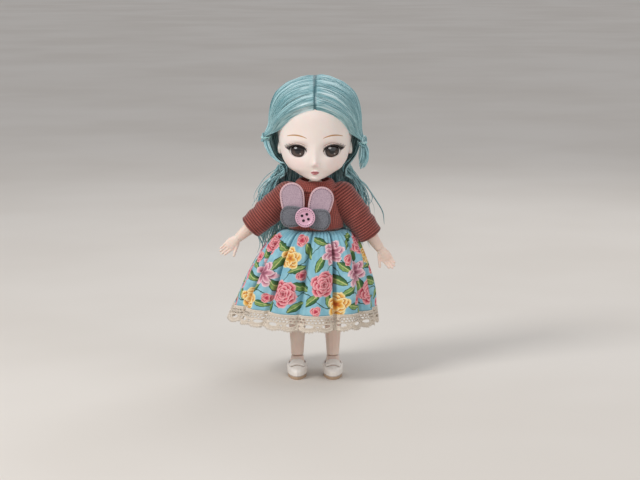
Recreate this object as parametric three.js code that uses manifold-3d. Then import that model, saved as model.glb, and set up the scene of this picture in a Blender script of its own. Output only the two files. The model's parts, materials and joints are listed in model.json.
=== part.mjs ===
// Jointed fashion doll, about 16 cm tall, in a knitted top and a gathered skirt.
// Millimetres, +Z up. The doll faces -Y and its left side is +X.

import * as THREE from 'three';
import { mergeVertices } from 'three/addons/utils/BufferGeometryUtils.js';
import Module from 'manifold-3d';

const wasm = await Module();
wasm.setup();

// Gaps and facets
const GAP = 0.3;
const PIN_SIDES = 10;
const BALL_SIDES = 12;
const ROOM_GAP = 0.6;
const LIMB_SIDES = 12;
const ACROSS = 40;

// Leg lengths, from the ground up
const ANKLE_HEIGHT = 11;
const SHIN_LENGTH = 28.5;
const THIGH_LENGTH = 27.5;
const HIP_SPREAD = 19;
const HIP_BALL_RADIUS = 6.2;
const THIGH_RADIUS = 6.4;
const KNEE_RADIUS = 4.5;
const CALF_RADIUS = 4.7;
const ANKLE_RADIUS = 3.3;

// Trunk and neck
const TRUNK_LENGTH = 30;
const NECK_RISE = 14;
const SHOULDER_SPREAD = 29;
const SHOULDER_BALL_RADIUS = 5;
const NECK_RADIUS = 3.6;
const NECK_BALL_RADIUS = 4.2;
const NECK_STEM_RADIUS = 2.6;

// Arm lengths and rest angles from straight down
const UPPER_ARM_LENGTH = 19;
const FOREARM_LENGTH = 16;
const ARM_RADIUS = 4;
const ELBOW_RADIUS = 3.3;
const WRIST_RADIUS = 2.5;
const RIGHT_ARM_ANGLE = 49;
const LEFT_ARM_ANGLE = 35;

// Hinge and swivel hardware
const TONGUE = 2.4;
const HINGE_PIN_RADIUS = 0.9;
const LINK_DISC_RADIUS = 2.7;
const BOSS_RADIUS = 1;
const SHAFT_RADIUS = 1.2;
const SHAFT_HEAD_RADIUS = 1.9;
const SHAFT_HEAD = 1;
const SHOULDER_SHAFT = 9;
const HIP_SHAFT = 8.4;
const PEG_RADIUS = 1.2;
const PEG_LENGTH = 4;

// Head, hair and eyes
const HEAD_RISE = 46;
const HEAD_WIDTH = 39;
const FACE_DEPTH = 19.6;
const HEAD_BACK_DEPTH = 21;
const HEAD_WALL = 2.6;
const HAIR_RISE = 49;
const HAIR_WIDTH = 48.4;
const HAIR_FRONT_DEPTH = 20.9;
const HAIR_BACK_DEPTH = 24.8;
const EYE_SPACING = 17.8;
const EYE_RISE = 12;
const EYE_RADIUS = 5;
const EYE_OPENING_WIDTH = 9.2;
const EYE_OPENING_HEIGHT = 6.4;
const EYE_OUTER_LIFT = 0.35;
const EYE_DEPTH = 10.4;
const LASH_THICKNESS = 0.35;
const LASH_LENGTH = 2.6;
const PARTING = 0.4;
const BUNCH_RADIUS = 1.8;
const BAND_THICKNESS = 1.1;
const BACK_HAIR_BOTTOM = 64;
const BACK_HAIR_THICKNESS = 4;
const BACK_HAIR_LOCKS = 11;
const BACK_HAIR_RAGGED = 7;
const HAIR_WAVE = 1.1;
const HAIR_WAVES = 2.1;

// Clothes
const KNIT = 1.2;
const WAIST_RISE = 12.3;
const SLEEVE_RADIUS = 6.7;
const CUFF_RADIUS = 5.4;
const SLEEVE_LENGTH = 26.5;
const COLLAR_HEIGHT = 2.2;
const COTTON = 0.8;
const SKIRT_LENGTH = 41.5;
const SKIRT_WAIST = 31;
const HEM_WIDTH = 76;
const HEM_DEPTH = 58;
const HEM_LEAN = -5.5;
const FOLDS = 13;
const FOLD_DEPTH = 2.3;
const FOLD_COLUMNS = 5;
const LACE_WIDTH = 8.4;
const SCALLOP = 1.5;
const SCALLOP_COLUMNS = 3;
const SCALLOPS_PER_FOLD = 3;

// Bow with button on the chest
const FELT = 0.9;
const BUTTON_RADIUS = 5.2;
const BUTTON_THICKNESS = 2;
const BUTTON_HOLE_RADIUS = 0.7;
const BOW_X = -5.1;
const BOW_RISE = 20.4;

// Shoes
const SOLE = 2.6;
const HEEL_HEIGHT = 1.6;
const FOREFOOT_BACK = -3.8;
const HEEL_FRONT = 2.6;
const SHOE_WALL = 0.9;
const FOOT_LENGTH = 21.8;
const FOOT_WIDTH = 8.6;
const HEEL_BEHIND_ANKLE = 9;
const STRAP_WIDTH = 2.6;

// Heights that follow from the lengths above
const kneeZ = ANKLE_HEIGHT + SHIN_LENGTH;
const hipZ = kneeZ + THIGH_LENGTH;
const shoulderZ = hipZ + TRUNK_LENGTH;
const neckZ = shoulderZ + NECK_RISE;
const waistZ = hipZ + WAIST_RISE;

const SKIN = { color: 0xe2c7b6, roughness: 0.5 };
const FACE = { color: 0xeed9cc, roughness: 0.42 };
const HAIR = { color: 0x79b9bd, roughness: 0.38 };
const WOOL = { color: 0x8a3f36, roughness: 0.95 };
const PRINT = { color: 0x6fb3c4, roughness: 0.85 };
const LACE = { color: 0xe0d5c3, roughness: 0.95 };
const PINK_FELT = { color: 0xc49aa8, roughness: 1 };
const GREY_FELT = { color: 0x6b6d74, roughness: 1 };
const BUTTON = { color: 0xd9a5b8, roughness: 0.4 };
const EYE = { color: 0x2d1f1b, roughness: 0.08 };
const LASH = { color: 0x1c1412, roughness: 0.6 };
const SHOE = { color: 0xe9e2da, roughness: 0.4 };
const ELASTIC = { color: 0x9fd6d4, roughness: 0.3 };

const radians = THREE.MathUtils.degToRad;
const point = (x, y, z) => new THREE.Vector3(x, y, z);

// Solid helpers: closed BufferGeometry to manifold and back

function solid(geometry) {
  const bare = new THREE.BufferGeometry();
  bare.setAttribute('position', geometry.getAttribute('position').clone());
  if (geometry.index) {
    bare.setIndex(geometry.index.clone());
  }
  const merged = mergeVertices(bare, 1e-4);
  const mesh = new wasm.Mesh({
    numProp: 3,
    vertProperties: new Float32Array(merged.attributes.position.array),
    triVerts: new Uint32Array(merged.index.array),
  });
  return new wasm.Manifold(mesh);
}

function geometryOf(manifold) {
  const mesh = manifold.getMesh();
  const geometry = new THREE.BufferGeometry();
  geometry.setAttribute('position', new THREE.BufferAttribute(mesh.vertProperties, 3));
  geometry.setIndex(new THREE.BufferAttribute(mesh.triVerts, 1));
  return geometry;
}

const join = (first, ...others) => others.reduce((sum, next) => sum.add(next), first);
const cut = (first, ...others) => others.reduce((sum, next) => sum.subtract(next), first);

function cylinder(axis, radius, from, to, centre = point(0, 0, 0), sides = PIN_SIDES) {
  const geometry = new THREE.CylinderGeometry(radius, radius, to - from, sides);
  geometry.translate(0, (from + to) / 2, 0);
  if (axis === 'x') {
    geometry.rotateZ(-Math.PI / 2);
  }
  if (axis === 'z') {
    geometry.rotateX(Math.PI / 2);
  }
  geometry.translate(centre.x, centre.y, centre.z);
  return solid(geometry);
}

function ball(radius, centre = point(0, 0, 0), across = BALL_SIDES) {
  const geometry = new THREE.SphereGeometry(radius, across, across / 2);
  geometry.rotateX(Math.PI / 2);
  geometry.translate(centre.x, centre.y, centre.z);
  return solid(geometry);
}

function box(low, high) {
  const size = high.clone().sub(low);
  const geometry = new THREE.BoxGeometry(size.x, size.y, size.z);
  geometry.translate((low.x + high.x) / 2, (low.y + high.y) / 2, (low.z + high.z) / 2);
  return solid(geometry);
}

function facesOutward(positions, index) {
  let volume = 0;
  const [a, b, c] = [point(0, 0, 0), point(0, 0, 0), point(0, 0, 0)];
  for (let i = 0; i < index.length; i += 3) {
    a.fromArray(positions, index[i] * 3);
    b.fromArray(positions, index[i + 1] * 3);
    c.fromArray(positions, index[i + 2] * 3);
    volume += a.dot(b.cross(c));
  }
  return volume > 0;
}

// Skins rings of equal length into one closed body. A looped skin joins its last ring to its
// first, as a tube with a wall does; otherwise both ends are closed round their middle points.
function skin(rings, looped = false) {
  const sides = rings[0].length;
  const positions = rings.flat().flatMap((p) => [p.x, p.y, p.z]);
  const index = [];
  const bands = looped ? rings.length : rings.length - 1;
  for (let band = 0; band < bands; band += 1) {
    const low = band * sides;
    const high = ((band + 1) % rings.length) * sides;
    for (let i = 0; i < sides; i += 1) {
      const next = (i + 1) % sides;
      index.push(low + i, low + next, high + next, low + i, high + next, high + i);
    }
  }
  if (!looped) {
    for (const [row, order] of [[0, 1], [rings.length - 1, -1]]) {
      const middle = rings[row].reduce((sum, p) => sum.add(p), point(0, 0, 0)).divideScalar(sides);
      const hub = positions.length / 3;
      positions.push(middle.x, middle.y, middle.z);
      for (let i = 0; i < sides; i += 1) {
        const pair = [row * sides + i, row * sides + ((i + 1) % sides)];
        index.push(hub, ...(order === 1 ? pair.reverse() : pair));
      }
    }
  }
  if (!facesOutward(positions, index)) {
    for (let i = 0; i < index.length; i += 3) {
      [index[i], index[i + 1]] = [index[i + 1], index[i]];
    }
  }
  const geometry = new THREE.BufferGeometry();
  geometry.setAttribute('position', new THREE.Float32BufferAttribute(positions, 3));
  geometry.setIndex(index);
  return geometry;
}

function oval(z, halfWidth, halfDepth, sides = LIMB_SIDES, middleY = 0) {
  return Array.from({ length: sides }, (_, i) => {
    const turn = (2 * Math.PI * i) / sides;
    return point(halfWidth * Math.cos(turn), middleY + halfDepth * Math.sin(turn), z);
  });
}

// Stations of a dome that ends a limb upwards, from its crown to its widest level
const dome = (radius) => [22, 50, 75, 90].map((angle) =>
  [radius * Math.cos(radians(angle)), radius * Math.sin(radians(angle))]);

const limb = (stations, sides = LIMB_SIDES) =>
  solid(skin(stations.map(([z, width, depth = width, y = 0]) => oval(z, width, depth, sides, y))));

// Smooth reading of a station table [height, ...sizes] at any height
function readStations(stations, z) {
  const last = stations.length - 1;
  let row = stations.findIndex((station) => station[0] > z) - 1;
  if (row < 0) {
    row = z <= stations[0][0] ? 0 : last - 1;
  }
  const share = (z - stations[row][0]) / (stations[row + 1][0] - stations[row][0]);
  const t = Math.min(Math.max(share, 0), 1);
  const before = stations[Math.max(row - 1, 0)];
  const after = stations[Math.min(row + 2, last)];
  return stations[row].slice(1).map((value, k) => {
    const [p0, p1, p2, p3] = [before[k + 1], value, stations[row + 1][k + 1], after[k + 1]];
    const linear = (p2 - p0) * t;
    const square = (2 * p0 - 5 * p1 + 4 * p2 - p3) * t * t;
    const cube = (3 * p1 - p0 - 3 * p2 + p3) * t * t * t;
    return p1 + (linear + square + cube) / 2;
  });
}

const doll = new THREE.Group();
const figure = new THREE.Group();
doll.add(figure);

function piece(name, manifoldOrGeometry, finish, parent = figure) {
  const isGeometry = manifoldOrGeometry.isBufferGeometry === true;
  const geometry = isGeometry ? manifoldOrGeometry : geometryOf(manifoldOrGeometry);
  const material = new THREE.MeshStandardMaterial({ metalness: 0, ...finish });
  const mesh = new THREE.Mesh(geometry, material);
  mesh.name = name;
  parent.add(mesh);
  return mesh;
}

const sides = [
  { name: 'left', side: 1, armAngle: LEFT_ARM_ANGLE },
  { name: 'right', side: -1, armAngle: RIGHT_ARM_ANGLE },
];

// Trunk: two moulded halves that trap the neck peg and the four limb shafts between them

const TRUNK_STATIONS = [
  [-5, 8.6, 5.4], [-2, 12.4, 7.4], [3, 13.4, 8.6], [8, 12, 8.2], [13, 10.4, 7.2],
  [22, 12.2, 8.2], [29, 12, 7.2], [33, 9, 6], [36, 5, 5],
];
const neckBaseZ = hipZ + TRUNK_STATIONS.at(-1)[0];
const NECK_HEAD_RADIUS = 3.2;
const NECK_PEG_RADIUS = 2.2;
const NECK_PEG_DEPTH = 8;
const HIP_EDGE_RISE = 1.5;
const shoulderCentre = (side) => point((side * SHOULDER_SPREAD) / 2, 0, shoulderZ);
const hipCentre = (side) => point((side * HIP_SPREAD) / 2, 0, hipZ);

function shaftRoom(side, centreX, centreZ, shaft) {
  const centre = point(side * centreX, 0, centreZ);
  const [reach, head] = [side * -shaft, side * (SHAFT_HEAD - shaft)];
  const wide = [reach - side * GAP, head + side * GAP].sort((a, b) => a - b);
  const narrow = [head, 0].sort((a, b) => a - b);
  return join(
    cylinder('x', SHAFT_HEAD_RADIUS + GAP, wide[0], wide[1], centre),
    cylinder('x', SHAFT_RADIUS + GAP, narrow[0], narrow[1], centre),
  );
}

// Clears the trunk beside the crotch, where the top of the thigh swings and spreads
function legRoom(side) {
  const inner = HIP_SPREAD / 2 - THIGH_RADIUS - GAP;
  const [low, high] = [side * inner, side * ACROSS].sort((a, b) => a - b);
  return box(point(low, -ACROSS, 0), point(high, ACROSS, hipZ + HIP_EDGE_RISE));
}

function trunkHalves() {
  const body = limb(TRUNK_STATIONS.map(([rise, ...sizes]) => [hipZ + rise, ...sizes]), 14);
  const rooms = sides.flatMap(({ side }) => [
    shaftRoom(side, SHOULDER_SPREAD / 2, shoulderZ, SHOULDER_SHAFT),
    ball(SHOULDER_BALL_RADIUS + ROOM_GAP, shoulderCentre(side)),
    shaftRoom(side, HIP_SPREAD / 2, hipZ, HIP_SHAFT),
    ball(HIP_BALL_RADIUS + ROOM_GAP, hipCentre(side)),
    legRoom(side),
  ]);
  const pegBottom = neckBaseZ - NECK_PEG_DEPTH;
  rooms.push(cylinder('z', NECK_PEG_RADIUS + GAP, pegBottom, neckBaseZ + 1));
  const headRoom = [pegBottom - GAP, pegBottom + SHAFT_HEAD + GAP];
  rooms.push(cylinder('z', NECK_HEAD_RADIUS + GAP, ...headRoom));
  const whole = cut(body, ...rooms);
  const seam = 0.05;
  const front = cut(whole, box(point(-ACROSS, -seam, 0), point(ACROSS, ACROSS, 2 * hipZ)));
  const back = cut(whole, box(point(-ACROSS, -ACROSS, 0), point(ACROSS, seam, 2 * hipZ)));
  piece('torso_front', front, SKIN);
  piece('torso_back', back, SKIN);
}

function neckJoint() {
  const pegBottom = neckBaseZ - NECK_PEG_DEPTH;
  const stemTop = neckZ - NECK_BALL_RADIUS + 1;
  const column = limb([
    [neckBaseZ + GAP, NECK_RADIUS + 0.4], [neckBaseZ + 1.6, NECK_RADIUS],
    [stemTop - 2.4, NECK_STEM_RADIUS], [stemTop, NECK_STEM_RADIUS],
  ]);
  piece('neck_joint', join(
    column,
    cylinder('z', NECK_PEG_RADIUS, pegBottom, neckBaseZ + 1),
    cylinder('z', NECK_HEAD_RADIUS, pegBottom, pegBottom + SHAFT_HEAD),
    ball(NECK_BALL_RADIUS, point(0, 0, neckZ)),
  ), SKIN);
}

// Head: rings read from stations [rise above the neck ball, half width, front, back], with the
// nose, lips, chin, cheeks and eye hollows as soft bumps on the front. The profile gives each
// station as shares of the head's own sizes.

const HEAD_PROFILE = [
  [-0.1, 0.103, 0.684, -0.452], [-0.074, 0.308, 0.755, 0.238], [-0.043, 0.441, 0.796, 0.371],
  [0.028, 0.708, 0.862, 0.543], [0.13, 0.867, 0.918, 0.743], [0.283, 0.959, 0.954, 0.924],
  [0.457, 1, 0.99, 1], [0.652, 0.99, 1, 0.99], [0.826, 0.841, 0.857, 0.857],
  [0.946, 0.533, 0.551, 0.562], [1, 0.174, 0.184, 0.19],
];
const HEAD_STATIONS = HEAD_PROFILE.map(([rise, width, front, back]) =>
  [rise * HEAD_RISE, (width * HEAD_WIDTH) / 2, front * FACE_DEPTH, back * HEAD_BACK_DEPTH]);
const headTop = neckZ + HEAD_STATIONS.at(-1)[0];
const chinZ = neckZ + HEAD_STATIONS[0][0];

// [x, rise, forward, spread x, spread z]
const FACE_BUMPS = [
  [0, 4.4, 2.3, 1.5, 1.8], [0, 9.5, 0.9, 1.5, 4], [0, -0.2, 1, 2.4, 1.1],
  [0, -3.4, 0.7, 3, 1.4], [-9, 2, 0.7, 4.5, 3.6], [9, 2, 0.7, 4.5, 3.6],
  [-EYE_SPACING / 2, EYE_RISE, -0.9, 4.6, 3.2], [EYE_SPACING / 2, EYE_RISE, -0.9, 4.6, 3.2],
];
const EARS = { rise: 11.5, y: 1.2, inset: 1.1, out: 1.7, tall: 3.4, deep: 2 };

function headPoint(turn, z, offset = 0) {
  const [width, front, back] = readStations(HEAD_STATIONS, z - neckZ);
  const middle = (back - front) / 2;
  const depth = (front + back) / 2 + offset;
  const x = (width + offset) * Math.sin(turn);
  let y = middle - depth * Math.cos(turn);
  if (offset === 0 && Math.cos(turn) > 0) {
    for (const [bumpX, rise, forward, spreadX, spreadZ] of FACE_BUMPS) {
      const far = ((x - bumpX) / spreadX) ** 2 + ((z - neckZ - rise) / spreadZ) ** 2;
      y -= forward * Math.exp(-far);
    }
  }
  return point(x, y, z);
}

function headForm(offset, turns, heights) {
  return solid(skin(heights.map((z) => turns.map((turn) => headPoint(turn, z, offset)))));
}

// Columns lie close together across the face and wide apart round the back
function faceTurns(frontCount, backCount) {
  const turns = [];
  for (let i = 0; i < frontCount; i += 1) {
    const share = (2 * i) / frontCount - 1;
    turns.push((Math.PI / 2) * (0.72 * share + 0.28 * share ** 3));
  }
  for (let i = 0; i < backCount; i += 1) {
    turns.push(Math.PI / 2 + (Math.PI * i) / backCount);
  }
  return turns;
}

function heightsBetween(low, high, count) {
  return Array.from({ length: count }, (_, i) => low + ((high - low) * i) / (count - 1));
}

const sphereLike = (count, low, high) => Array.from({ length: count }, (_, i) => {
  const share = (1 - Math.cos((Math.PI * (i + 0.35)) / (count - 0.3))) / 2;
  return low + (high - low) * share;
});

const eyeZ = neckZ + EYE_RISE;

const LID_ROUNDNESS = 1.12;

// A point of the almond eye opening, shrunk by a margin; the outer corner stands a little higher
function lidPoint(side, turn, margin) {
  const across = (EYE_OPENING_WIDTH / 2 - margin) * Math.cos(turn);
  const rise = Math.sign(Math.sin(turn)) * Math.abs(Math.sin(turn)) ** LID_ROUNDNESS;
  const up = (EYE_OPENING_HEIGHT / 2 - margin) * rise;
  const lift = (EYE_OUTER_LIFT * 2 * across) / EYE_OPENING_WIDTH;
  return new THREE.Vector2(side * (EYE_SPACING / 2 + across), eyeZ + up + lift);
}

function eyeRooms() {
  return sides.flatMap(({ side }) => {
    const outline = Array.from({ length: 20 }, (_, i) => lidPoint(side, (Math.PI * i) / 10, 0));
    const depth = EYE_RADIUS + ROOM_GAP;
    const options = { depth: ACROSS, bevelEnabled: false };
    const opening = new THREE.ExtrudeGeometry(new THREE.Shape(outline), options);
    opening.rotateX(Math.PI / 2);
    opening.translate(0, -EYE_DEPTH - 0.35 * depth, 0);
    return [solid(opening), ball(depth, point((side * EYE_SPACING) / 2, -EYE_DEPTH, eyeZ))];
  });
}

// Both ears, grown by a clearance where they make room in the hair
function ears(grow) {
  return sides.map(({ side }) => {
    const ear = new THREE.SphereGeometry(1, 8, 6);
    ear.scale(EARS.out + grow, EARS.deep + grow, EARS.tall + grow);
    ear.translate(side * (HEAD_WIDTH / 2 - EARS.inset), EARS.y, neckZ + EARS.rise);
    return solid(ear);
  });
}

function headShells() {
  const lowFace = [...heightsBetween(chinZ, neckZ + 16, 13), ...sphereTail()];
  const outer = headForm(0, faceTurns(18, 8), lowFace);
  const cavity = headForm(-HEAD_WALL, faceTurns(8, 8), heightsBetween(neckZ + 6.5, headTop - 4, 6));
  const neckHole = cylinder('z', NECK_STEM_RADIUS + 1.3, chinZ - 5, neckZ, point(0, 0, 0), 16);
  const socket = ball(NECK_BALL_RADIUS + ROOM_GAP, point(0, 0, neckZ));
  const whole = cut(join(outer, ...ears(0)), cavity, neckHole, socket, ...eyeRooms());
  const seam = 0.05;
  const behind = box(point(-ACROSS, -seam, 0), point(ACROSS, ACROSS, 2 * neckZ));
  const before = box(point(-ACROSS, -ACROSS, 0), point(ACROSS, seam, 2 * neckZ));
  piece('head_face_shell', cut(whole, behind), FACE);
  piece('head_back_shell', cut(whole, before), FACE);
}

function sphereTail() {
  return [0.457, 0.576, 0.696, 0.804, 0.902, 0.974, 1].map((share) => neckZ + share * HEAD_RISE);
}

function eyes() {
  for (const { name, side } of sides) {
    const x = (side * EYE_SPACING) / 2;
    const behind = box(point(-ACROSS, -EYE_DEPTH, 0), point(ACROSS, ACROSS, 2 * eyeZ));
    piece(`eye_${name}`, cut(ball(EYE_RADIUS, point(x, -EYE_DEPTH, eyeZ)), behind), EYE);
    piece(`eyelash_${name}`, eyelash(side), LASH);
  }
}

// An arched strip set into the upper edge of the eye opening
function eyelash(side) {
  const turns = heightsBetween(radians(18), radians(162), 9);
  const back = -EYE_DEPTH - EYE_RADIUS + 0.5;
  const inner = GAP + LASH_THICKNESS;
  const section = [[GAP, 0], [GAP, LASH_LENGTH], [inner, LASH_LENGTH], [inner, 0]];
  return skin(turns.map((turn) => section.map(([margin, out]) => {
    const lid = lidPoint(side, turn, margin);
    return point(lid.x, back - out, lid.y);
  })));
}

// Hair: two crown halves either side of the parting, a tied lock each side, and the long
// back hair. The profile gives the crown's stations as shares of its own sizes.

const HAIR_PROFILE = [
  [-0.02, 0.678, 0.144, 0.79], [0.143, 0.893, 0.383, 0.927], [0.327, 1, 0.737, 0.984],
  [0.531, 0.996, 0.995, 1], [0.694, 0.942, 1, 0.968], [0.816, 0.835, 0.909, 0.871],
  [0.918, 0.603, 0.689, 0.645], [0.98, 0.322, 0.383, 0.363], [1, 0.124, 0.153, 0.145],
];
const HAIR_STATIONS = HAIR_PROFILE.map(([rise, width, front, back]) =>
  [rise * HAIR_RISE, (width * HAIR_WIDTH) / 2, front * HAIR_FRONT_DEPTH, back * HAIR_BACK_DEPTH]);
const hairBottomZ = neckZ + HAIR_STATIONS[0][0];
const hairTopZ = neckZ + HAIR_STATIONS.at(-1)[0];
const HAIRLINE = [
  [0, 35.6], [7, 34], [13, 29.6], [17.4, 22.5], [20, 15], [21.5, 6], [22, -8],
];
const TEMPLE_Y = -1.5;
const SCALP_GAP = 0.9;

function hairCrown() {
  const turns = faceTurns(12, 12);
  const levels = [-0.02, 0.102, 0.224, 0.347, 0.469, 0.592, 0.704, 0.806, 0.888, 0.949, 0.986, 1];
  const heights = levels.map((share) => neckZ + share * HAIR_RISE);
  const outer = solid(skin(heights.map((z) => turns.map((turn) => {
    const [width, front, back] = readStations(HAIR_STATIONS, z - neckZ);
    const depth = (front + back) / 2;
    return point(width * Math.sin(turn), (back - front) / 2 - depth * Math.cos(turn), z);
  }))));
  const scalp = headForm(SCALP_GAP, faceTurns(10, 10), sphereLike(11, chinZ, headTop + SCALP_GAP));
  const right = HAIRLINE.map(([x, rise]) => new THREE.Vector2(x, neckZ + rise));
  const left = HAIRLINE.slice(1).map(([x, rise]) => new THREE.Vector2(-x, neckZ + rise));
  const outline = new THREE.Shape([...right, ...left.reverse()]);
  const opening = new THREE.ExtrudeGeometry(outline, { depth: ACROSS, bevelEnabled: false });
  opening.rotateX(Math.PI / 2);
  opening.translate(0, TEMPLE_Y, 0);
  const crown = cut(outer, scalp, solid(opening), ...ears(3 * GAP));
  for (const { name, side } of sides) {
    const edge = (side * PARTING) / 2;
    const low = point(Math.min(edge, side * -ACROSS), -ACROSS, 0);
    const high = point(Math.max(edge, side * -ACROSS), ACROSS, 2 * neckZ);
    piece(`hair_crown_${name}`, cut(crown, box(low, high)), HAIR);
  }
}

// Each lock runs from its tie beside the ear down towards the jaw
const LOCKS = {
  left: { tieX: 26.4, tieRise: 14.5, endX: 21.6, endRise: 2.5, y: -1 },
  right: { tieX: -27, tieRise: 17.5, endX: -23, endRise: 2.5, y: -1 },
};

function hairLocks() {
  for (const { name } of sides) {
    const { tieX, tieRise, endX, endRise, y } = LOCKS[name];
    const tie = point(tieX, y, neckZ + tieRise);
    const end = point(endX, y - 2, neckZ + endRise);
    const fall = end.clone().sub(tie);
    const shares = [-0.24, -0.15, -0.06, 0.06, 0.2, 0.5, 0.85, 1];
    const widths = [0.8, 1.3, 1, 1, 1.55, 1.45, 0.9, 0.35];
    const rings = shares.map((share, k) => {
      const radius = BUNCH_RADIUS * widths[k];
      const middle = tie.clone().addScaledVector(fall, share);
      return Array.from({ length: 8 }, (_, i) => {
        const turn = (2 * Math.PI * i) / 8;
        return middle.clone().add(point(radius * Math.cos(turn), radius * Math.sin(turn), 0));
      });
    });
    piece(`hair_bunch_${name}`, skin(rings), HAIR);
    const inner = BUNCH_RADIUS + GAP;
    const section = [[0, -0.5], [0.75, -0.5], [1, 0], [0.75, 0.5], [0, 0.5]];
    const profile = section.map(([out, up]) =>
      new THREE.Vector2(inner + out * BAND_THICKNESS, up * BAND_THICKNESS));
    const band = new THREE.LatheGeometry([...profile, profile[0].clone()], 12);
    band.rotateX(Math.PI / 2);
    band.translate(tie.x, tie.y, tie.z);
    piece(`hair_band_${name}`, solid(band), ELASTIC);
  }
}

// [height, half width, inner face, thickness share]
const BACK_HAIR_STATIONS = [
  [hairBottomZ - GAP, 15.4, 9.4, 1.7], [neckZ - 6, 19, 11.6, 1.25], [shoulderZ + 3, 23, 13.6, 1],
  [shoulderZ - 8, 25, 14.4, 1], [waistZ + 2, 25, 15.6, 1], [waistZ - 6, 23.5, 19.6, 0.9],
  [BACK_HAIR_BOTTOM + 4, 21, 23.2, 0.7], [BACK_HAIR_BOTTOM, 19, 25, 0.35],
];

const BACK_HAIR_TABLE = [...BACK_HAIR_STATIONS].reverse();
const VALLEY_DEPTH = 0.4;
const EDGE_THINNING = 0.55;
const WRAP_ROUND = 0.72;

// The hair falls in locks, a ridge and a valley each, that wave towards their uneven tips
function backHair() {
  const columns = 2 * BACK_HAIR_LOCKS;
  const top = BACK_HAIR_STATIONS[0][0];
  const rings = heightsBetween(0, 1, 13).map((share) => {
    const outside = [];
    const inside = [];
    for (let i = 0; i <= columns; i += 1) {
      const across = (2 * i) / columns - 1;
      const tip = BACK_HAIR_BOTTOM + BACK_HAIR_RAGGED * (0.5 + 0.5 * Math.cos(2.4 * i));
      const z = top + (tip - top) * share;
      const [halfWidth, innerY, thickness] = readStations(BACK_HAIR_TABLE, z);
      const wave = HAIR_WAVE * share * Math.sin(2 * Math.PI * HAIR_WAVES * share + 0.8 * i);
      const lock = i % 2 === 0 ? 1 : VALLEY_DEPTH;
      const thick = BACK_HAIR_THICKNESS * thickness * lock * (1 - EDGE_THINNING * across ** 4);
      const near = innerY + WRAP_ROUND * across * across + VALLEY_DEPTH * Math.abs(wave);
      outside.push(point(halfWidth * across + wave, near + thick, z));
      inside.push(point(halfWidth * across + wave, near, z));
    }
    return [...outside, ...inside.reverse()];
  });
  piece('hair_back', skin(rings), HAIR);
}

// Arms and legs: a link with a shaft towards the trunk and a tongue with two bosses, limbs
// with forked ends, hinge pins, and hands and feet on swivel pegs

function link(side, shaft) {
  const [reach, neck] = [side * -shaft, side * (SHAFT_HEAD - shaft)];
  const head = [reach, neck].sort((a, b) => a - b);
  const stem = [neck, 0].sort((a, b) => a - b);
  return join(
    cylinder('y', LINK_DISC_RADIUS, -TONGUE / 2, TONGUE / 2),
    cylinder('y', BOSS_RADIUS, -TONGUE / 2 - 1, TONGUE / 2 + 1),
    cylinder('x', SHAFT_RADIUS, stem[0], stem[1]),
    cylinder('x', SHAFT_HEAD_RADIUS, head[0], head[1]),
  );
}

// The room that a link needs in the ball of the limb that hangs on it
function linkRoom(side, ballRadius) {
  const open = ballRadius + 3;
  const disc = LINK_DISC_RADIUS + GAP;
  const slot = TONGUE / 2 + GAP;
  const [low, high] = [side * -open, side * disc].sort((a, b) => a - b);
  return join(
    box(point(low, -slot, -disc), point(high, slot, open)),
    cylinder('y', BOSS_RADIUS + GAP, -TONGUE / 2 - 1 - GAP, TONGUE / 2 + 1 + GAP),
  );
}

// A forked end at the given depth below the limb's top joint
function forkedEnd(body, depth, radius) {
  const centre = point(0, 0, -depth);
  const round = cylinder('x', radius, -radius, radius, centre, LIMB_SIDES);
  const slot = box(
    point(-TONGUE / 2 - GAP, -ACROSS, -depth - ACROSS),
    point(TONGUE / 2 + GAP, ACROSS, -depth + radius + GAP),
  );
  const hole = cylinder('x', HINGE_PIN_RADIUS + GAP, -ACROSS, ACROSS, centre);
  const trim = limb([[-depth - 2 * radius, 1.14 * radius], [ACROSS, 1.14 * radius]]);
  return cut(join(body, round.intersect(trim)), slot, hole);
}

// A tongue that turns in the fork, above a limb whose body starts clear of the fork
function tongued(body, radius) {
  const half = TONGUE / 2;
  const tongue = cylinder('x', radius, -half, half, point(0, 0, 0), LIMB_SIDES);
  const root = box(point(-half, -radius * 0.75, -radius - 2), point(half, radius * 0.75, 0));
  const hole = cylinder('x', HINGE_PIN_RADIUS + GAP, -ACROSS, ACROSS);
  return cut(join(body, tongue, root), hole);
}

const hingePin = (radius, depth) =>
  cylinder('x', HINGE_PIN_RADIUS, -radius + 0.4, radius - 0.4, point(0, 0, -depth));

const pegHole = (depth) => cylinder(
  'z', PEG_RADIUS + GAP, -depth - 1, -depth + PEG_LENGTH + GAP,
);

function placed(parent, x, y, z, turnY = 0) {
  const group = new THREE.Group();
  group.position.set(x, y, z);
  group.rotation.y = turnY;
  parent.add(group);
  return group;
}

function upperArm(side) {
  const elbow = UPPER_ARM_LENGTH;
  const body = limb([
    ...dome(SHOULDER_BALL_RADIUS), [-3, ARM_RADIUS], [-elbow * 0.55, ARM_RADIUS * 0.95],
    [-elbow + ELBOW_RADIUS, ELBOW_RADIUS * 1.12], [-elbow, ELBOW_RADIUS * 1.1],
  ]);
  return cut(forkedEnd(body, elbow, ELBOW_RADIUS), linkRoom(side, SHOULDER_BALL_RADIUS));
}

function forearm() {
  const top = ELBOW_RADIUS + 2 * GAP;
  const body = limb([
    [-top, ELBOW_RADIUS * 0.92], [-top - 1.6, ELBOW_RADIUS * 1.06],
    [-FOREARM_LENGTH * 0.55, ELBOW_RADIUS], [-FOREARM_LENGTH, WRIST_RADIUS],
  ]);
  return cut(tongued(body, ELBOW_RADIUS - GAP), pegHole(FOREARM_LENGTH));
}

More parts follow.
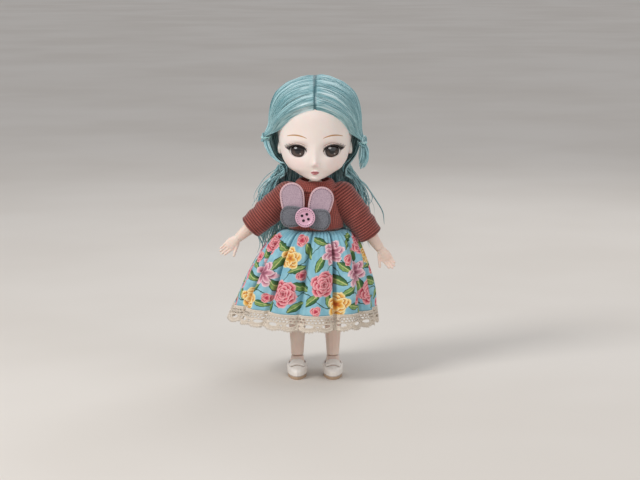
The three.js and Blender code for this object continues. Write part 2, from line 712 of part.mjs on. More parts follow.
// Fingers: [across, length, lean]; the thumb stands apart on the side of the body
const FINGERS = [[-2.5, 4.4, -7], [-0.85, 5.2, -2], [0.85, 5, 3], [2.4, 3.9, 9]];
const PALM_LENGTH = 6.4;
const FINGER_RADIUS = 0.85;
const THUMB = { across: -2.4, drop: 2.6, length: 5.4, lean: -34 };

function digit(across, drop, length, lean, radius) {
  const stations = [[0, radius], [-length * 0.75, radius * 0.85], [-length, radius * 0.4]];
  const rings = stations.map(([z, size]) => oval(z, size, size, 6));
  const turned = new THREE.Matrix4().makeRotationY(radians(-lean)).setPosition(across, 0, -drop);
  return solid(skin(rings).applyMatrix4(turned));
}

function hand(side) {
  const palm = limb([
    [-GAP, WRIST_RADIUS * 0.92], [-2, WRIST_RADIUS, 1.9], [-4.4, 3.3, 1.6],
    [-PALM_LENGTH, 3.3, 1.2], [-PALM_LENGTH - 0.8, 2.8, 0.8],
  ], 10);
  const fingers = FINGERS.map(([across, length, lean]) =>
    digit(side * across, PALM_LENGTH - 0.4, length, side * lean, FINGER_RADIUS));
  const thumb = digit(side * THUMB.across, THUMB.drop, THUMB.length, side * THUMB.lean, 1);
  const peg = cylinder('z', PEG_RADIUS, -1, PEG_LENGTH);
  return join(palm, ...fingers, thumb, peg);
}

function arms() {
  for (const { name, side, armAngle } of sides) {
    const shoulderX = (side * SHOULDER_SPREAD) / 2;
    const shoulder = placed(figure, shoulderX, 0, shoulderZ);
    piece(`shoulder_joint_${name}`, link(side, SHOULDER_SHAFT), SKIN, shoulder);
    const arm = placed(figure, shoulderX, 0, shoulderZ, -side * radians(armAngle));
    piece(`upper_arm_${name}`, upperArm(side), SKIN, arm);
    piece(`elbow_pin_${name}`, hingePin(ELBOW_RADIUS, UPPER_ARM_LENGTH), SKIN, arm);
    const lower = placed(arm, 0, 0, -UPPER_ARM_LENGTH);
    piece(`forearm_${name}`, forearm(), SKIN, lower);
    const wrist = placed(lower, 0, 0, -FOREARM_LENGTH);
    piece(`hand_${name}`, hand(side), SKIN, wrist);
  }
}

function thigh(side) {
  const body = limb([
    ...dome(HIP_BALL_RADIUS), [-4, HIP_BALL_RADIUS * 0.93], [-7.5, THIGH_RADIUS],
    [-THIGH_LENGTH * 0.5, THIGH_RADIUS * 0.93],
    [-THIGH_LENGTH + KNEE_RADIUS, KNEE_RADIUS * 1.12], [-THIGH_LENGTH, KNEE_RADIUS * 1.08],
  ]);
  return cut(forkedEnd(body, THIGH_LENGTH, KNEE_RADIUS), linkRoom(side, HIP_BALL_RADIUS));
}

function shin() {
  const top = KNEE_RADIUS + 2 * GAP;
  const body = limb([
    [-top, KNEE_RADIUS * 0.86], [-top - 2, CALF_RADIUS * 0.96, CALF_RADIUS, 0.2],
    [-SHIN_LENGTH * 0.42, CALF_RADIUS * 0.96, CALF_RADIUS, 0.4],
    [-SHIN_LENGTH * 0.75, ANKLE_RADIUS * 1.15], [-SHIN_LENGTH, ANKLE_RADIUS],
  ]);
  return cut(tongued(body, KNEE_RADIUS - GAP), pegHole(SHIN_LENGTH));
}

// Foot stations: [height, half width, toe, heel], each grown by an offset for the shoe
function footForm(offset, low, topZ) {
  const toe = FOOT_LENGTH - HEEL_BEHIND_ANKLE;
  const half = FOOT_WIDTH / 2;
  const stations = [
    [low, half * 0.94, toe * 0.97, HEEL_BEHIND_ANKLE * 0.94],
    [SOLE + 1.8, half, toe, HEEL_BEHIND_ANKLE],
    [SOLE + 3.6, half * 0.94, toe * 0.9, HEEL_BEHIND_ANKLE * 0.96],
    [SOLE + 5.4, half * 0.86, toe * 0.58, HEEL_BEHIND_ANKLE * 0.82],
    [SOLE + 7.2, half * 0.8, 4.2, 3.8],
    [topZ, ANKLE_RADIUS, ANKLE_RADIUS, ANKLE_RADIUS],
  ];
  return solid(skin(stations.map(([z, width, front, back], row) => {
    const height = row === 0 || row === stations.length - 1 ? z : z + offset * 0.9;
    const depth = (front + back) / 2 + offset;
    return oval(height, width + offset, depth, 16, (back - front) / 2);
  })));
}

function feet(parent, name) {
  const foot = footForm(0, SOLE + GAP, ANKLE_HEIGHT - GAP);
  const peg = cylinder('z', PEG_RADIUS, ANKLE_HEIGHT - 1, ANKLE_HEIGHT + PEG_LENGTH);
  piece(`foot_${name}`, join(foot, peg), SKIN, parent);
  const wall = SHOE_WALL + GAP;
  const opening = SOLE + 4.4;
  const vamp = -FOOT_LENGTH * 0.42;
  const outer = footForm(wall, 0, ANKLE_HEIGHT);
  const room = footForm(GAP, SOLE, ANKLE_HEIGHT + 1);
  const above = box(point(-ACROSS, vamp, opening), point(ACROSS, ACROSS, ACROSS));
  const top = box(point(-ACROSS, -ACROSS, SOLE + 6.6), point(ACROSS, ACROSS, ACROSS));
  const arch = box(point(-ACROSS, FOREFOOT_BACK, -1), point(ACROSS, ACROSS, HEEL_HEIGHT));
  piece(`shoe_${name}`, cut(outer, room, above, top, arch), SHOE, parent);
  const underHeel = box(point(-ACROSS, HEEL_FRONT, -1), point(ACROSS, ACROSS, HEEL_HEIGHT - GAP));
  piece(`shoe_heel_${name}`, outer.intersect(underHeel), SHOE, parent);
  const middle = vamp + STRAP_WIDTH / 2 + 4 * GAP;
  const band = box(
    point(-ACROSS, middle - STRAP_WIDTH / 2, opening + GAP),
    point(ACROSS, middle + STRAP_WIDTH / 2, ACROSS),
  );
  piece(`shoe_strap_${name}`, cut(outer, room).intersect(band), SHOE, parent);
}

function legs() {
  for (const { name, side } of sides) {
    const hipX = (side * HIP_SPREAD) / 2;
    const hip = placed(figure, hipX, 0, hipZ);
    piece(`hip_joint_${name}`, link(side, HIP_SHAFT), SKIN, hip);
    piece(`thigh_${name}`, thigh(side), SKIN, hip);
    piece(`knee_pin_${name}`, hingePin(KNEE_RADIUS, THIGH_LENGTH), SKIN, hip);
    const knee = placed(hip, 0, 0, -THIGH_LENGTH);
    piece(`shin_${name}`, shin(), SKIN, knee);
    feet(placed(figure, hipX, 0, 0), name);
  }
}

// Knitted top: [height, half width, half depth] of its outside, with armholes round the sleeves

const TOP_STATIONS = [
  [waistZ, 15.1, 10.8], [waistZ + 5, 14.6, 11.4], [shoulderZ - 7, 13.6, 11.6],
  [shoulderZ - 1, 13, 11], [shoulderZ + 4.2, 10.8, 9.6], [shoulderZ + 6.2, 8, 8],
];
const knitTopZ = TOP_STATIONS.at(-1)[0];

function topForm(offset) {
  return TOP_STATIONS.map(([z, width, depth]) => oval(z, width + offset, depth + offset, 18));
}

function knittedTop() {
  const shell = solid(skin([...topForm(0), ...topForm(-KNIT).reverse()], true));
  const armholes = sides.map(({ side }) =>
    ball(SLEEVE_RADIUS + ROOM_GAP, shoulderCentre(side)));
  piece('sweater_bodice', cut(shell, ...armholes), WOOL);
  const [, neckWidth] = TOP_STATIONS.at(-1);
  const profile = [
    [neckWidth - KNIT, GAP], [neckWidth + 0.2, GAP], [neckWidth + 0.5, COLLAR_HEIGHT * 0.5],
    [neckWidth, COLLAR_HEIGHT - 0.4], [neckWidth - 0.7, COLLAR_HEIGHT],
    [neckWidth - KNIT - 0.3, COLLAR_HEIGHT - 0.4],
  ].map(([radius, rise]) => new THREE.Vector2(radius, rise));
  const collar = new THREE.LatheGeometry([...profile, profile[0].clone()], 18);
  collar.rotateX(Math.PI / 2);
  collar.translate(0, 0, knitTopZ);
  piece('sweater_collar', solid(collar), WOOL);
}

function sleeve(side, armAngle) {
  const turn = side * radians(armAngle);
  const tube = (radius, cuff, low) => limb([
    ...dome(radius), [-12, radius * 0.97], [-SLEEVE_LENGTH + 4, cuff * 1.04], [low, cuff],
  ]);
  const outer = tube(SLEEVE_RADIUS, CUFF_RADIUS, -SLEEVE_LENGTH);
  const hollow = tube(SLEEVE_RADIUS - KNIT, CUFF_RADIUS - KNIT, -SLEEVE_LENGTH - 1);
  const trunk = solid(skin(topForm(GAP)));
  const toArm = new THREE.Matrix4().makeTranslation((-side * SHOULDER_SPREAD) / 2, 0, -shoulderZ);
  toArm.premultiply(new THREE.Matrix4().makeRotationY(turn));
  const bodySide = solid(geometryOf(trunk).applyMatrix4(toArm));
  return cut(outer, hollow, bodySide);
}

function sleeves() {
  for (const { name, side, armAngle } of sides) {
    const shoulderX = (side * SHOULDER_SPREAD) / 2;
    const arm = placed(figure, shoulderX, 0, shoulderZ, -side * radians(armAngle));
    piece(`sweater_sleeve_${name}`, sleeve(side, armAngle), WOOL, arm);
  }
}

// Skirt: a bell of gathered cotton whose folds deepen towards the hem
const FRONT_FOLD = radians(-92.9);
const hemZ = waistZ - GAP - SKIRT_LENGTH;

function skirtPoint(turn, share, inward) {
  const flare = share ** 0.62;
  const halfWidth = SKIRT_WAIST / 2 + (HEM_WIDTH / 2 - SKIRT_WAIST / 2) * flare;
  const waistDepth = 0.7 * (SKIRT_WAIST / 2);
  const halfDepth = waistDepth + (HEM_DEPTH / 2 - waistDepth) * share ** 0.75;
  const wave = Math.cos(FOLDS * (turn - FRONT_FOLD)) + 0.3 * Math.cos(4 * turn + 1);
  const fold = -FOLD_DEPTH * (0.12 + 0.88 * share) * wave;
  const x = HEM_LEAN * share + (halfWidth + fold - inward) * Math.cos(turn);
  const y = (halfDepth + fold - inward) * Math.sin(turn);
  return point(x, y, waistZ - GAP - SKIRT_LENGTH * share);
}

function skirtRing(share, inward) {
  const columns = FOLDS * FOLD_COLUMNS;
  return Array.from({ length: columns }, (_, i) =>
    skirtPoint((2 * Math.PI * i) / columns, share, inward));
}

function skirt() {
  const shares = [0, 0.06, 0.16, 0.32, 0.52, 0.76, 1];
  const outside = shares.map((share) => skirtRing(share, 0));
  const inside = shares.map((share) => skirtRing(share, COTTON)).reverse();
  piece('skirt', skin([...outside, ...inside], true), PRINT);
}

// Lace hem: hangs from the skirt's edge, with one scallop for each run of columns
function laceHem() {
  const perFold = SCALLOPS_PER_FOLD * SCALLOP_COLUMNS;
  const columns = FOLDS * perFold;
  const rings = [[0, 0], [1, 0], [1, COTTON], [0, COTTON]].map(([low, inward]) =>
    Array.from({ length: columns }, (_, i) => {
      const turn = (2 * Math.PI * i) / columns;
      const drop = i % SCALLOP_COLUMNS === 0 ? LACE_WIDTH - SCALLOP : LACE_WIDTH;
      const top = skirtPoint(turn, 1, inward);
      const outward = skirtPoint(turn, 1, inward).sub(skirtPoint(turn, 0.9, inward));
      const fall = outward.multiplyScalar(drop / -outward.z);
      top.z -= GAP;
      return low === 1 ? top.add(fall) : top;
    }));
  piece('lace_hem', skin(rings, true), LACE);
}

// Back fastener of the top: a hook and loop strip from the waist to between the shoulders
const FASTENER_WIDTH = 5;

function backFastener() {
  const [, , deepest] = TOP_STATIONS[2];
  const near = deepest + GAP;
  const low = point(-FASTENER_WIDTH / 2, near, waistZ + 2);
  const high = point(FASTENER_WIDTH / 2, near + COTTON, shoulderZ);
  piece('back_fastener', box(low, high), WOOL);
}

// Bow: two long and two short felt lobes that meet behind a round button
// [length, width, angle from straight up, layer]
const LOBES = {
  felt_ear_right: [19.2, 12.6, 24, 0, PINK_FELT],
  felt_ear_left: [18.6, 12.6, -34, 0, PINK_FELT],
  felt_lobe_right: [14, 11, 92, 1, GREY_FELT],
  felt_lobe_left: [14, 11, -98, 1, GREY_FELT],
};
const chestY = -TOP_STATIONS[2][2] - GAP;

function lobe(length, width, angle, nearY) {
  const outline = new THREE.Shape();
  const half = width / 2;
  const round = length - half;
  outline.moveTo(0, 0);
  outline.bezierCurveTo(half * 0.55, round * 0.2, half, round * 0.55, half, round);
  outline.absarc(0, round, half, 0, Math.PI, false);
  outline.bezierCurveTo(-half, round * 0.55, -half * 0.55, round * 0.2, 0, 0);
  const options = { depth: FELT, bevelEnabled: false, curveSegments: 8 };
  const geometry = new THREE.ExtrudeGeometry(outline, options);
  geometry.rotateZ(radians(angle));
  geometry.rotateX(Math.PI / 2);
  geometry.translate(BOW_X, nearY, hipZ + BOW_RISE);
  return geometry;
}

function bow() {
  const layer = FELT + GAP;
  const clear = 0.4;
  for (const [name, [length, width, angle, level, finish]] of Object.entries(LOBES)) {
    const whole = solid(lobe(length, width, angle, chestY - level * layer));
    const edge = BOW_X + (name.endsWith('left') ? clear / 2 : -clear / 2);
    const isLeft = name.endsWith('left');
    const low = point(isLeft ? -ACROSS : edge, -ACROSS, 0);
    const high = point(isLeft ? edge : ACROSS, ACROSS, 2 * neckZ);
    piece(name, cut(whole, box(low, high)), finish);
  }
  const nearY = chestY - 2 * layer;
  const rim = [
    [0, 0], [BUTTON_RADIUS - 0.6, 0], [BUTTON_RADIUS, 0.5], [BUTTON_RADIUS, 1.4],
    [BUTTON_RADIUS - 0.6, BUTTON_THICKNESS], [BUTTON_RADIUS - 1.1, 1.5], [0, 1.4],
  ].map(([radius, rise]) => new THREE.Vector2(radius, rise));
  const disc = new THREE.LatheGeometry(rim, 16);
  disc.rotateX(Math.PI);
  disc.translate(BOW_X, nearY, hipZ + BOW_RISE);
  const holes = [0, 1, 2, 3].map((i) => {
    const turn = radians(62 + 90 * i);
    const x = BOW_X + 1.9 * Math.cos(turn);
    const z = hipZ + BOW_RISE + 1.9 * Math.sin(turn);
    return cylinder('y', BUTTON_HOLE_RADIUS, -ACROSS, 0, point(x, 0, z), 6);
  });
  piece('button', cut(solid(disc), ...holes), BUTTON);
}

trunkHalves();
neckJoint();
headShells();
eyes();
hairCrown();
hairLocks();
backHair();
arms();
legs();
knittedTop();
sleeves();
skirt();
laceHem();
backFastener();
bow();

// The origin is the middle of the doll's footprint box, on the ground
doll.updateMatrixWorld(true);
const extent = new THREE.Box3().setFromObject(doll, true);
const middle = extent.getCenter(point(0, 0, 0));
figure.position.set(-middle.x, -middle.y, -extent.min.z);

export default doll;
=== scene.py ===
"""Looks of a jointed fashion doll in a knitted top and a gathered skirt.

The classes measure in millimetres from the doll's own upright axis, with the ground at zero.
The doll faces -Y and its left side is +X. Meshes are written in metres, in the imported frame.
"""

import json
import logging
import math
from contextlib import contextmanager
from dataclasses import dataclass, field
from enum import Enum
from functools import partial
from typing import Callable, Iterator, Sequence

import bmesh
import bpy
import numpy as np
from mathutils import Matrix, Vector

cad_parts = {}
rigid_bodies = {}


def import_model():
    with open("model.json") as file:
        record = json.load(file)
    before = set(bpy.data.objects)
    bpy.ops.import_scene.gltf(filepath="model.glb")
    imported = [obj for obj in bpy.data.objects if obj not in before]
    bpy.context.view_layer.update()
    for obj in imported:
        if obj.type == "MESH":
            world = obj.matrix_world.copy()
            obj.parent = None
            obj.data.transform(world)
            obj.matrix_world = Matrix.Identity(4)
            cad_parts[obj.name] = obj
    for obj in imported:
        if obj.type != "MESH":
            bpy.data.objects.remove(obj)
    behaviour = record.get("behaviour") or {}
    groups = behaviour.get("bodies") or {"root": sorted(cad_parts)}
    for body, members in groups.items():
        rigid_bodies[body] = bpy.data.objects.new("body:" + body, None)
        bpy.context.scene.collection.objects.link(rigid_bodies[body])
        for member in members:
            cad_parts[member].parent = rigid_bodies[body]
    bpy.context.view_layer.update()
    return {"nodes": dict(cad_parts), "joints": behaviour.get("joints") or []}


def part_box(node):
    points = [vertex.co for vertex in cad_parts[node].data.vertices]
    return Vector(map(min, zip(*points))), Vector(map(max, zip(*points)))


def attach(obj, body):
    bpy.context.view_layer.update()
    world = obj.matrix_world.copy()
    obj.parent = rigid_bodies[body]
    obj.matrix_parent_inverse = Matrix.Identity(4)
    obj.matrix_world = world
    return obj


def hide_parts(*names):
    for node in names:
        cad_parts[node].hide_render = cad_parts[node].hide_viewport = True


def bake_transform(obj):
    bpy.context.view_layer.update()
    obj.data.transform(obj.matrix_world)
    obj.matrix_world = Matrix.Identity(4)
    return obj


log = logging.getLogger("doll")
Array = np.ndarray
Piece = bpy.types.Object
Material = bpy.types.Material
Socket = bpy.types.NodeSocket
MM = 0.001
TURN = 2 * math.pi
FRONT = (0.0, -1.0, 0.0)


class Side(Enum):
    """The doll's own left and right."""

    LEFT = 1
    RIGHT = -1

    @property
    def word(self) -> str:
        """The side's name as it stands in node and body names."""
        return self.name.lower()

    @property
    def mirror(self) -> Array:
        """Factors that carry a point of the left side to this side."""
        return np.array([self.value, 1.0, 1.0])


@dataclass(frozen=True)
class Figure:
    """Landmarks of the doll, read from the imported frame.

    Attributes:
        axis: Where the doll's upright axis meets the ground, in metres.
        neck: Height of the neck ball's centre.
        shoulder: Height of the shoulder centres.
        half_shoulders: Half the distance between the shoulder centres.
        hip: Height of the hip centres.
        half_hips: Half the distance between the hip centres.
        waist: Height of the top's lower edge.
        arm_turns: Angle of each arm from straight down, in radians.
        wrist: Distance from a shoulder to its wrist.
    """

    axis: tuple[float, float]
    neck: float
    shoulder: float
    half_shoulders: float
    hip: float
    half_hips: float
    waist: float
    arm_turns: dict[Side, float]
    wrist: float

    @classmethod
    def read(cls, joints: list[dict]) -> "Figure":
        """Reads the landmarks from the joints and from the boxes of the nodes.

        Args:
            joints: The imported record's joints.

        Returns:
            The doll's landmarks.
        """
        place = {j["name"]: np.array(j["pos_m"]) / MM for j in joints}
        neck, shoulder = place["neck_turn"], place["shoulder_swing_left"]
        hip, wrist = place["hip_swing_left"], place["wrist_left"]
        turns = {}
        for side in Side:
            bone = place[f"wrist_{side.word}"] - place[f"shoulder_swing_{side.word}"]
            turns[side] = math.atan2(abs(bone[0]), -bone[2])
        return cls(
            axis=(neck[0] * MM, neck[1] * MM),
            neck=neck[2],
            shoulder=shoulder[2],
            half_shoulders=shoulder[0] - neck[0],
            hip=hip[2],
            half_hips=hip[0] - neck[0],
            waist=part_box("sweater_bodice")[0].z / MM,
            arm_turns=turns,
            wrist=float(np.linalg.norm(wrist - shoulder)),
        )

    def metres(self, points: Array) -> Array:
        """Moves points from the doll's own millimetres into the frame's metres."""
        return np.asarray(points, float) * MM + np.array([*self.axis, 0.0])

    def millimetres(self, points: Array) -> Array:
        """Moves points from the frame's metres into the doll's own millimetres."""
        return (np.asarray(points, float) - np.array([*self.axis, 0.0])) / MM

    def spot(self, x: float, y: float, z: float) -> Vector:
        """One point of the doll in the frame's metres."""
        return Vector(self.metres(np.array([x, y, z])))


def circle(count: int) -> Array:
    """Angles of this many points round a circle, from 0."""
    return TURN * np.arange(count) / count


def smooth_step(low: float, high: float, value: Array) -> Array:
    """A soft step from 0 at low to 1 at high."""
    share = np.clip((value - low) / (high - low), 0, 1)
    return share * share * (3 - 2 * share)


def read_table(table: Array, at: Array) -> Array:
    """Reads a table of rows [height, size, ...] smoothly at many heights.

    Args:
        table: Rows sorted by their first column.
        at: The heights to read.

    Returns:
        The sizes at those heights, one more axis than at.
    """
    heights = table[:, 0]
    row = np.clip(np.searchsorted(heights, at, side="right") - 1, 0, len(heights) - 2)
    share = np.clip((at - heights[row]) / (heights[row + 1] - heights[row]), 0, 1)[..., None]
    before, here = table[np.maximum(row - 1, 0), 1:], table[row, 1:]
    ahead, after = table[row + 1, 1:], table[np.minimum(row + 2, len(heights) - 1), 1:]
    cube = (3 * here - before - 3 * ahead + after) * share**3
    square = (2 * before - 5 * here + 4 * ahead - after) * share**2
    return here + ((ahead - before) * share + square + cube) / 2


def lattice(rows: int, columns: int, wrap: bool) -> tuple[Array, Array]:
    """Quads over a lattice of points, with the column and row of every quad's corner.

    Args:
        rows: Number of rows of points.
        columns: Number of points in a row.
        wrap: Whether each row closes on itself.

    Returns:
        The quads and the corners' unwrapped (column, row).
    """
    last = columns if wrap else columns - 1
    r, c = np.meshgrid(np.arange(rows - 1), np.arange(last), indexing="ij")
    corner_rows = np.stack([r, r, r + 1, r + 1], -1).reshape(-1, 4)
    corner_columns = np.stack([c, c + 1, c + 1, c], -1).reshape(-1, 4)
    quads = corner_rows * columns + corner_columns % columns
    return quads, np.stack([corner_columns, corner_rows], -1).astype(float)


def deselect() -> None:
    """Leaves nothing selected or active, so that an operator acts on new work alone."""
    if bpy.context.object and bpy.context.object.mode != "OBJECT":
        bpy.ops.object.mode_set(mode="OBJECT")
    for item in bpy.context.scene.objects:
        item.select_set(False)
    bpy.context.view_layer.objects.active = None


def choose(*pieces: Piece) -> None:
    """Selects these pieces alone, the last one active."""
    deselect()
    for item in pieces:
        item.select_set(True)
    bpy.context.view_layer.objects.active = pieces[-1]


def apply_modifiers(piece: Piece) -> Piece:
    """Applies every modifier of a piece, in order."""
    choose(piece)
    for modifier in list(piece.modifiers):
        bpy.ops.object.modifier_apply(modifier=modifier.name)
    return piece


def baked(piece: Piece) -> Piece:
    """Writes a piece's place, turn and scale into its mesh."""
    choose(piece)
    bpy.ops.object.transform_apply(location=True, rotation=True, scale=True)
    return piece


def settle(piece: Piece, name: str, angle: float | None = 40.0) -> Piece:
    """Writes a piece's place into its mesh, names it and smooths its shading.

    Args:
        piece: The finished object.
        name: Its name.
        angle: Edges sharper than this many degrees stay sharp; None leaves the shading.

    Returns:
        The same object.
    """
    baked(piece)
    if angle is not None:
        bpy.ops.object.shade_smooth_by_angle(angle=math.radians(angle))
    piece.name = piece.data.name = name
    deselect()
    return piece


def joined(pieces: Sequence[Piece], name: str) -> Piece:
    """Joins pieces into one named object."""
    choose(*pieces)
    bpy.ops.object.join()
    piece = bpy.context.object
    piece.name = piece.data.name = name
    deselect()
    return piece


def added(add: Callable[..., object], **settings: object) -> Piece:
    """Makes one of Blender's own meshes.

    Args:
        add: The operator that adds it.
        **settings: The operator's settings.

    Returns:
        The new object.
    """
    deselect()
    add(**settings)
    return bpy.context.object


def linked(name: str, data: bpy.types.ID) -> Piece:
    """Makes an object of this data in the scene."""
    item = bpy.data.objects.new(name, data)
    bpy.context.scene.collection.objects.link(item)
    return item


def twin(piece: Piece) -> Piece:
    """A copy of a piece in the scene, with a mesh of its own."""
    copy = piece.copy()
    copy.data = piece.data.copy()
    bpy.context.scene.collection.objects.link(copy)
    return copy


@contextmanager
def opened(mesh: bpy.types.Mesh) -> Iterator[bmesh.types.BMesh]:
    """Opens a mesh for edits and writes them back.

    Args:
        mesh: The mesh to edit.

    Yields:
        The open mesh.
    """
    work = bmesh.new()
    work.from_mesh(mesh)
    yield work
    work.to_mesh(mesh)
    work.free()


def carve(piece: Piece, cutters: Sequence[Piece]) -> None:
    """Applies a piece's modifiers and cuts the cutters out of it."""
    for cutter in cutters:
        cut = piece.modifiers.new("cut", "BOOLEAN")
        cut.object, cut.operation, cut.solver = cutter, "DIFFERENCE", "EXACT"
    apply_modifiers(piece)
    for cutter in cutters:
        bpy.data.objects.remove(cutter)


def mesh_piece(
    figure: Figure, name: str, points: Array, faces: Array, uv: Array | None = None, weld: float = 0.0
) -> Piece:
    """Makes a smooth-shaded object from points in the doll's millimetres.

    Args:
        figure: The doll's landmarks.
        name: The object's name.
        points: The vertices.
        faces: Quads of vertex numbers.
        uv: The (u, v) of every face corner.
        weld: Vertices closer than this are merged, as at poles and lock tips.

    Returns:
        The new object.
    """
    mesh = bpy.data.meshes.new(name)
    mesh.from_pydata(figure.metres(points).tolist(), [], faces.tolist())
    if uv is not None:
        layer = mesh.uv_layers.new(name="UVMap")
        layer.data.foreach_set("uv", np.ascontiguousarray(uv, float).reshape(-1))
    if weld > 0:
        with opened(mesh) as work:
            bmesh.ops.remove_doubles(work, verts=work.verts, dist=weld * MM)
    mesh.polygons.foreach_set("use_smooth", [True] * len(mesh.polygons))
    return linked(name, mesh)


def unit(vectors: Array) -> Array:
    """The vectors at length one."""
    return vectors / np.maximum(np.linalg.norm(vectors, axis=-1, keepdims=True), 1e-9)


@dataclass
class Strands:
    """Many closed tubes with flattened sections, one along each path.

    Attributes:
        paths: (tubes, steps, 3) centre points.
        facing: Direction of each section's thin way, one for all or (tubes, steps, 3).
        widths: (tubes, steps) half widths.
        depths: (tubes, steps) half thicknesses.
        sides: Number of sides of a section.
    """

    paths: Array
    facing: Array | tuple[float, float, float]
    widths: Array
    depths: Array
    sides: int = 6

    def mesh(self) -> tuple[Array, Array, Array]:
        """Builds the tubes.

        Returns:
            Points, quads, and corner uv with u once round each tube and v in millimetres along it.
        """
        count, steps, _ = self.paths.shape
        along = unit(np.gradient(self.paths, axis=1))
        across = unit(np.cross(along, self.facing))
        outward = np.cross(across, along)
        turn = circle(self.sides)
        ring = (
            self.paths[:, :, None]
            + across[:, :, None] * (self.widths[..., None] * np.cos(turn))[..., None]
            + outward[:, :, None] * (self.depths[..., None] * np.sin(turn))[..., None]
        )
        quads, corners = (part[:, ::-1] for part in lattice(steps, self.sides, True))
        per_tube = steps * self.sides
        faces = (np.arange(count)[:, None, None] * per_tube + quads[None]).reshape(-1, 4)
        length = np.linalg.norm(np.diff(self.paths, axis=1), axis=-1).cumsum(1)
        length = np.concatenate([np.zeros((count, 1)), length], 1)
        v = length[:, corners[..., 1].astype(int)]
        u = np.broadcast_to(corners[..., 0] / self.sides, v.shape) + np.arange(count)[:, None, None]
        return ring.reshape(-1, 3), faces, np.stack([u, v], -1).reshape(-1, 4, 2)

    def piece(self, figure: Figure, name: str, weld: float = 0.0) -> Piece:
        """One object with all the tubes."""
        return mesh_piece(figure, name, *self.mesh(), weld=weld)


class Board:
    """The nodes of one material or node group, with short calls to add them."""

    def __init__(self, tree: bpy.types.NodeTree) -> None:
        """Takes the node tree that the nodes go into."""
        self.tree = tree

    def node(self, kind: str, inputs: dict | None = None, **settings: object) -> bpy.types.Node:
        """Adds a node.

        Args:
            kind: The node's type without its ShaderNode prefix.
            inputs: Values, fields or sockets by the input's name or number.
            **settings: The node's own properties.

        Returns:
            The node.
        """
        made = self.tree.nodes.new("ShaderNode" + kind)
        for key, value in settings.items():
            setattr(made, key, value)
        for key, value in (inputs or {}).items():
            self.feed(made.inputs[key], value)
        return made

    def feed(self, socket: Socket, value: object) -> None:
        """Links a field or socket to an input, or sets the input's own value or colour code."""
        source = value.socket if isinstance(value, Field) else value
        if isinstance(source, Socket):
            self.tree.links.new(source, socket)
        else:
            socket.default_value = tone(source) if isinstance(source, str) else source

    def math(self, operation: str, *values: object) -> "Field":
        """A Math node on the values."""
        return Field(self, self.node("Math", dict(enumerate(values)), operation=operation).outputs[0])

    def step(self, value: "Field", low: float, high: float) -> "Field":
        """A soft step from 0 at low to 1 at high."""
        inputs = {"Value": value, "From Min": low, "From Max": high}
        made = self.node("MapRange", inputs, interpolation_type="SMOOTHSTEP")
        return Field(self, made.outputs[0])

    def xyz(self, vector: Socket) -> tuple["Field", "Field", "Field"]:
        """The parts of a vector."""
        parts = self.node("SeparateXYZ", {0: vector})
        return tuple(Field(self, part) for part in parts.outputs)

    def vector(self, x: object, y: object) -> Socket:
        """A flat vector from its parts."""
        return self.node("CombineXYZ", {0: x, 1: y}).outputs[0]

    def noise(self, vector: object, scale: float, detail: float = 3.0, rough: float = 0.55) -> "Field":
        """Fractal noise, about 0.5 in the middle."""
        inputs = {"Vector": vector, "Scale": scale, "Detail": detail, "Roughness": rough}
        return Field(self, self.node("TexNoise", inputs).outputs[0])

    def mix(self, share: object, first: object, second: object) -> Socket:
        """Two colours mixed by a share; a colour is a socket or a six-digit code."""
        inputs = {0: share, 6: first, 7: second}
        return self.node("Mix", inputs, data_type="RGBA", clamp_factor=True).outputs[2]

    def bump(self, height: object, depth: float, strength: float = 1.0) -> Socket:
        """A bumped normal, with depth in millimetres."""
        inputs = {"Height": height, "Distance": depth * MM, "Strength": strength}
        return self.node("Bump", inputs).outputs[0]


class Field:
    """A number that a shader works out at each point; arithmetic on it adds Math nodes."""

    def __init__(self, board: Board, socket: Socket) -> None:
        """Takes the board and the output socket that gives the number."""
        self.board = board
        self.socket = socket

    def __add__(self, other: object) -> "Field":
        """Sum."""
        return self.board.math("ADD", self, other)

    def __sub__(self, other: object) -> "Field":
        """Difference."""
        return self.board.math("SUBTRACT", self, other)

    def __rsub__(self, other: object) -> "Field":
        """Difference from a number."""
        return self.board.math("SUBTRACT", other, self)

    def __mul__(self, other: object) -> "Field":
        """Product."""
        return self.board.math("MULTIPLY", self, other)

    def __truediv__(self, other: object) -> "Field":
        """Quotient."""
        return self.board.math("DIVIDE", self, other)

    def __pow__(self, other: object) -> "Field":
        """Power."""
        return self.board.math("POWER", self, other)

    def __neg__(self) -> "Field":
        """Opposite."""
        return self.board.math("MULTIPLY", self, -1.0)

    def __abs__(self) -> "Field":
        """Size without its sign."""
        return self.board.math("ABSOLUTE", self)

    def call(self, operation: str, *others: object) -> "Field":
        """A Math node by its name, with this field first."""
        return self.board.math(operation, self, *others)


class MaterialBoard(Board):
    """The nodes of a new material, ending in one Principled shader."""

    def __init__(self, name: str) -> None:
        """Makes the material, with no nodes yet but its coordinates.

        Args:
            name: The material's name.
        """
        self.material = bpy.data.materials.new(name)
        self.material.use_nodes = True
        super().__init__(self.material.node_tree)
        self.tree.nodes.clear()
        coordinates = self.node("TexCoord")
        self.object_place = coordinates.outputs["Object"]
        self.uv = coordinates.outputs["UV"]

    def doll_place(self, figure: Figure) -> tuple[Field, Field, Field]:
        """The point's place in the doll's own millimetres."""
        x, y, z = self.xyz(self.object_place)
        return (x - figure.axis[0]) / MM, (y - figure.axis[1]) / MM, z / MM

    def finish(self, **inputs: object) -> Material:
        """Ends the material in a Principled shader.

        Args:
            **inputs: The shader's inputs, with underscores for spaces.

        Returns:
            The material.
        """
        named = {key.replace("_", " "): value for key, value in inputs.items()}
        shader = self.node("BsdfPrincipled", named)
        self.node("OutputMaterial", {"Surface": shader.outputs[0]})
        return self.material


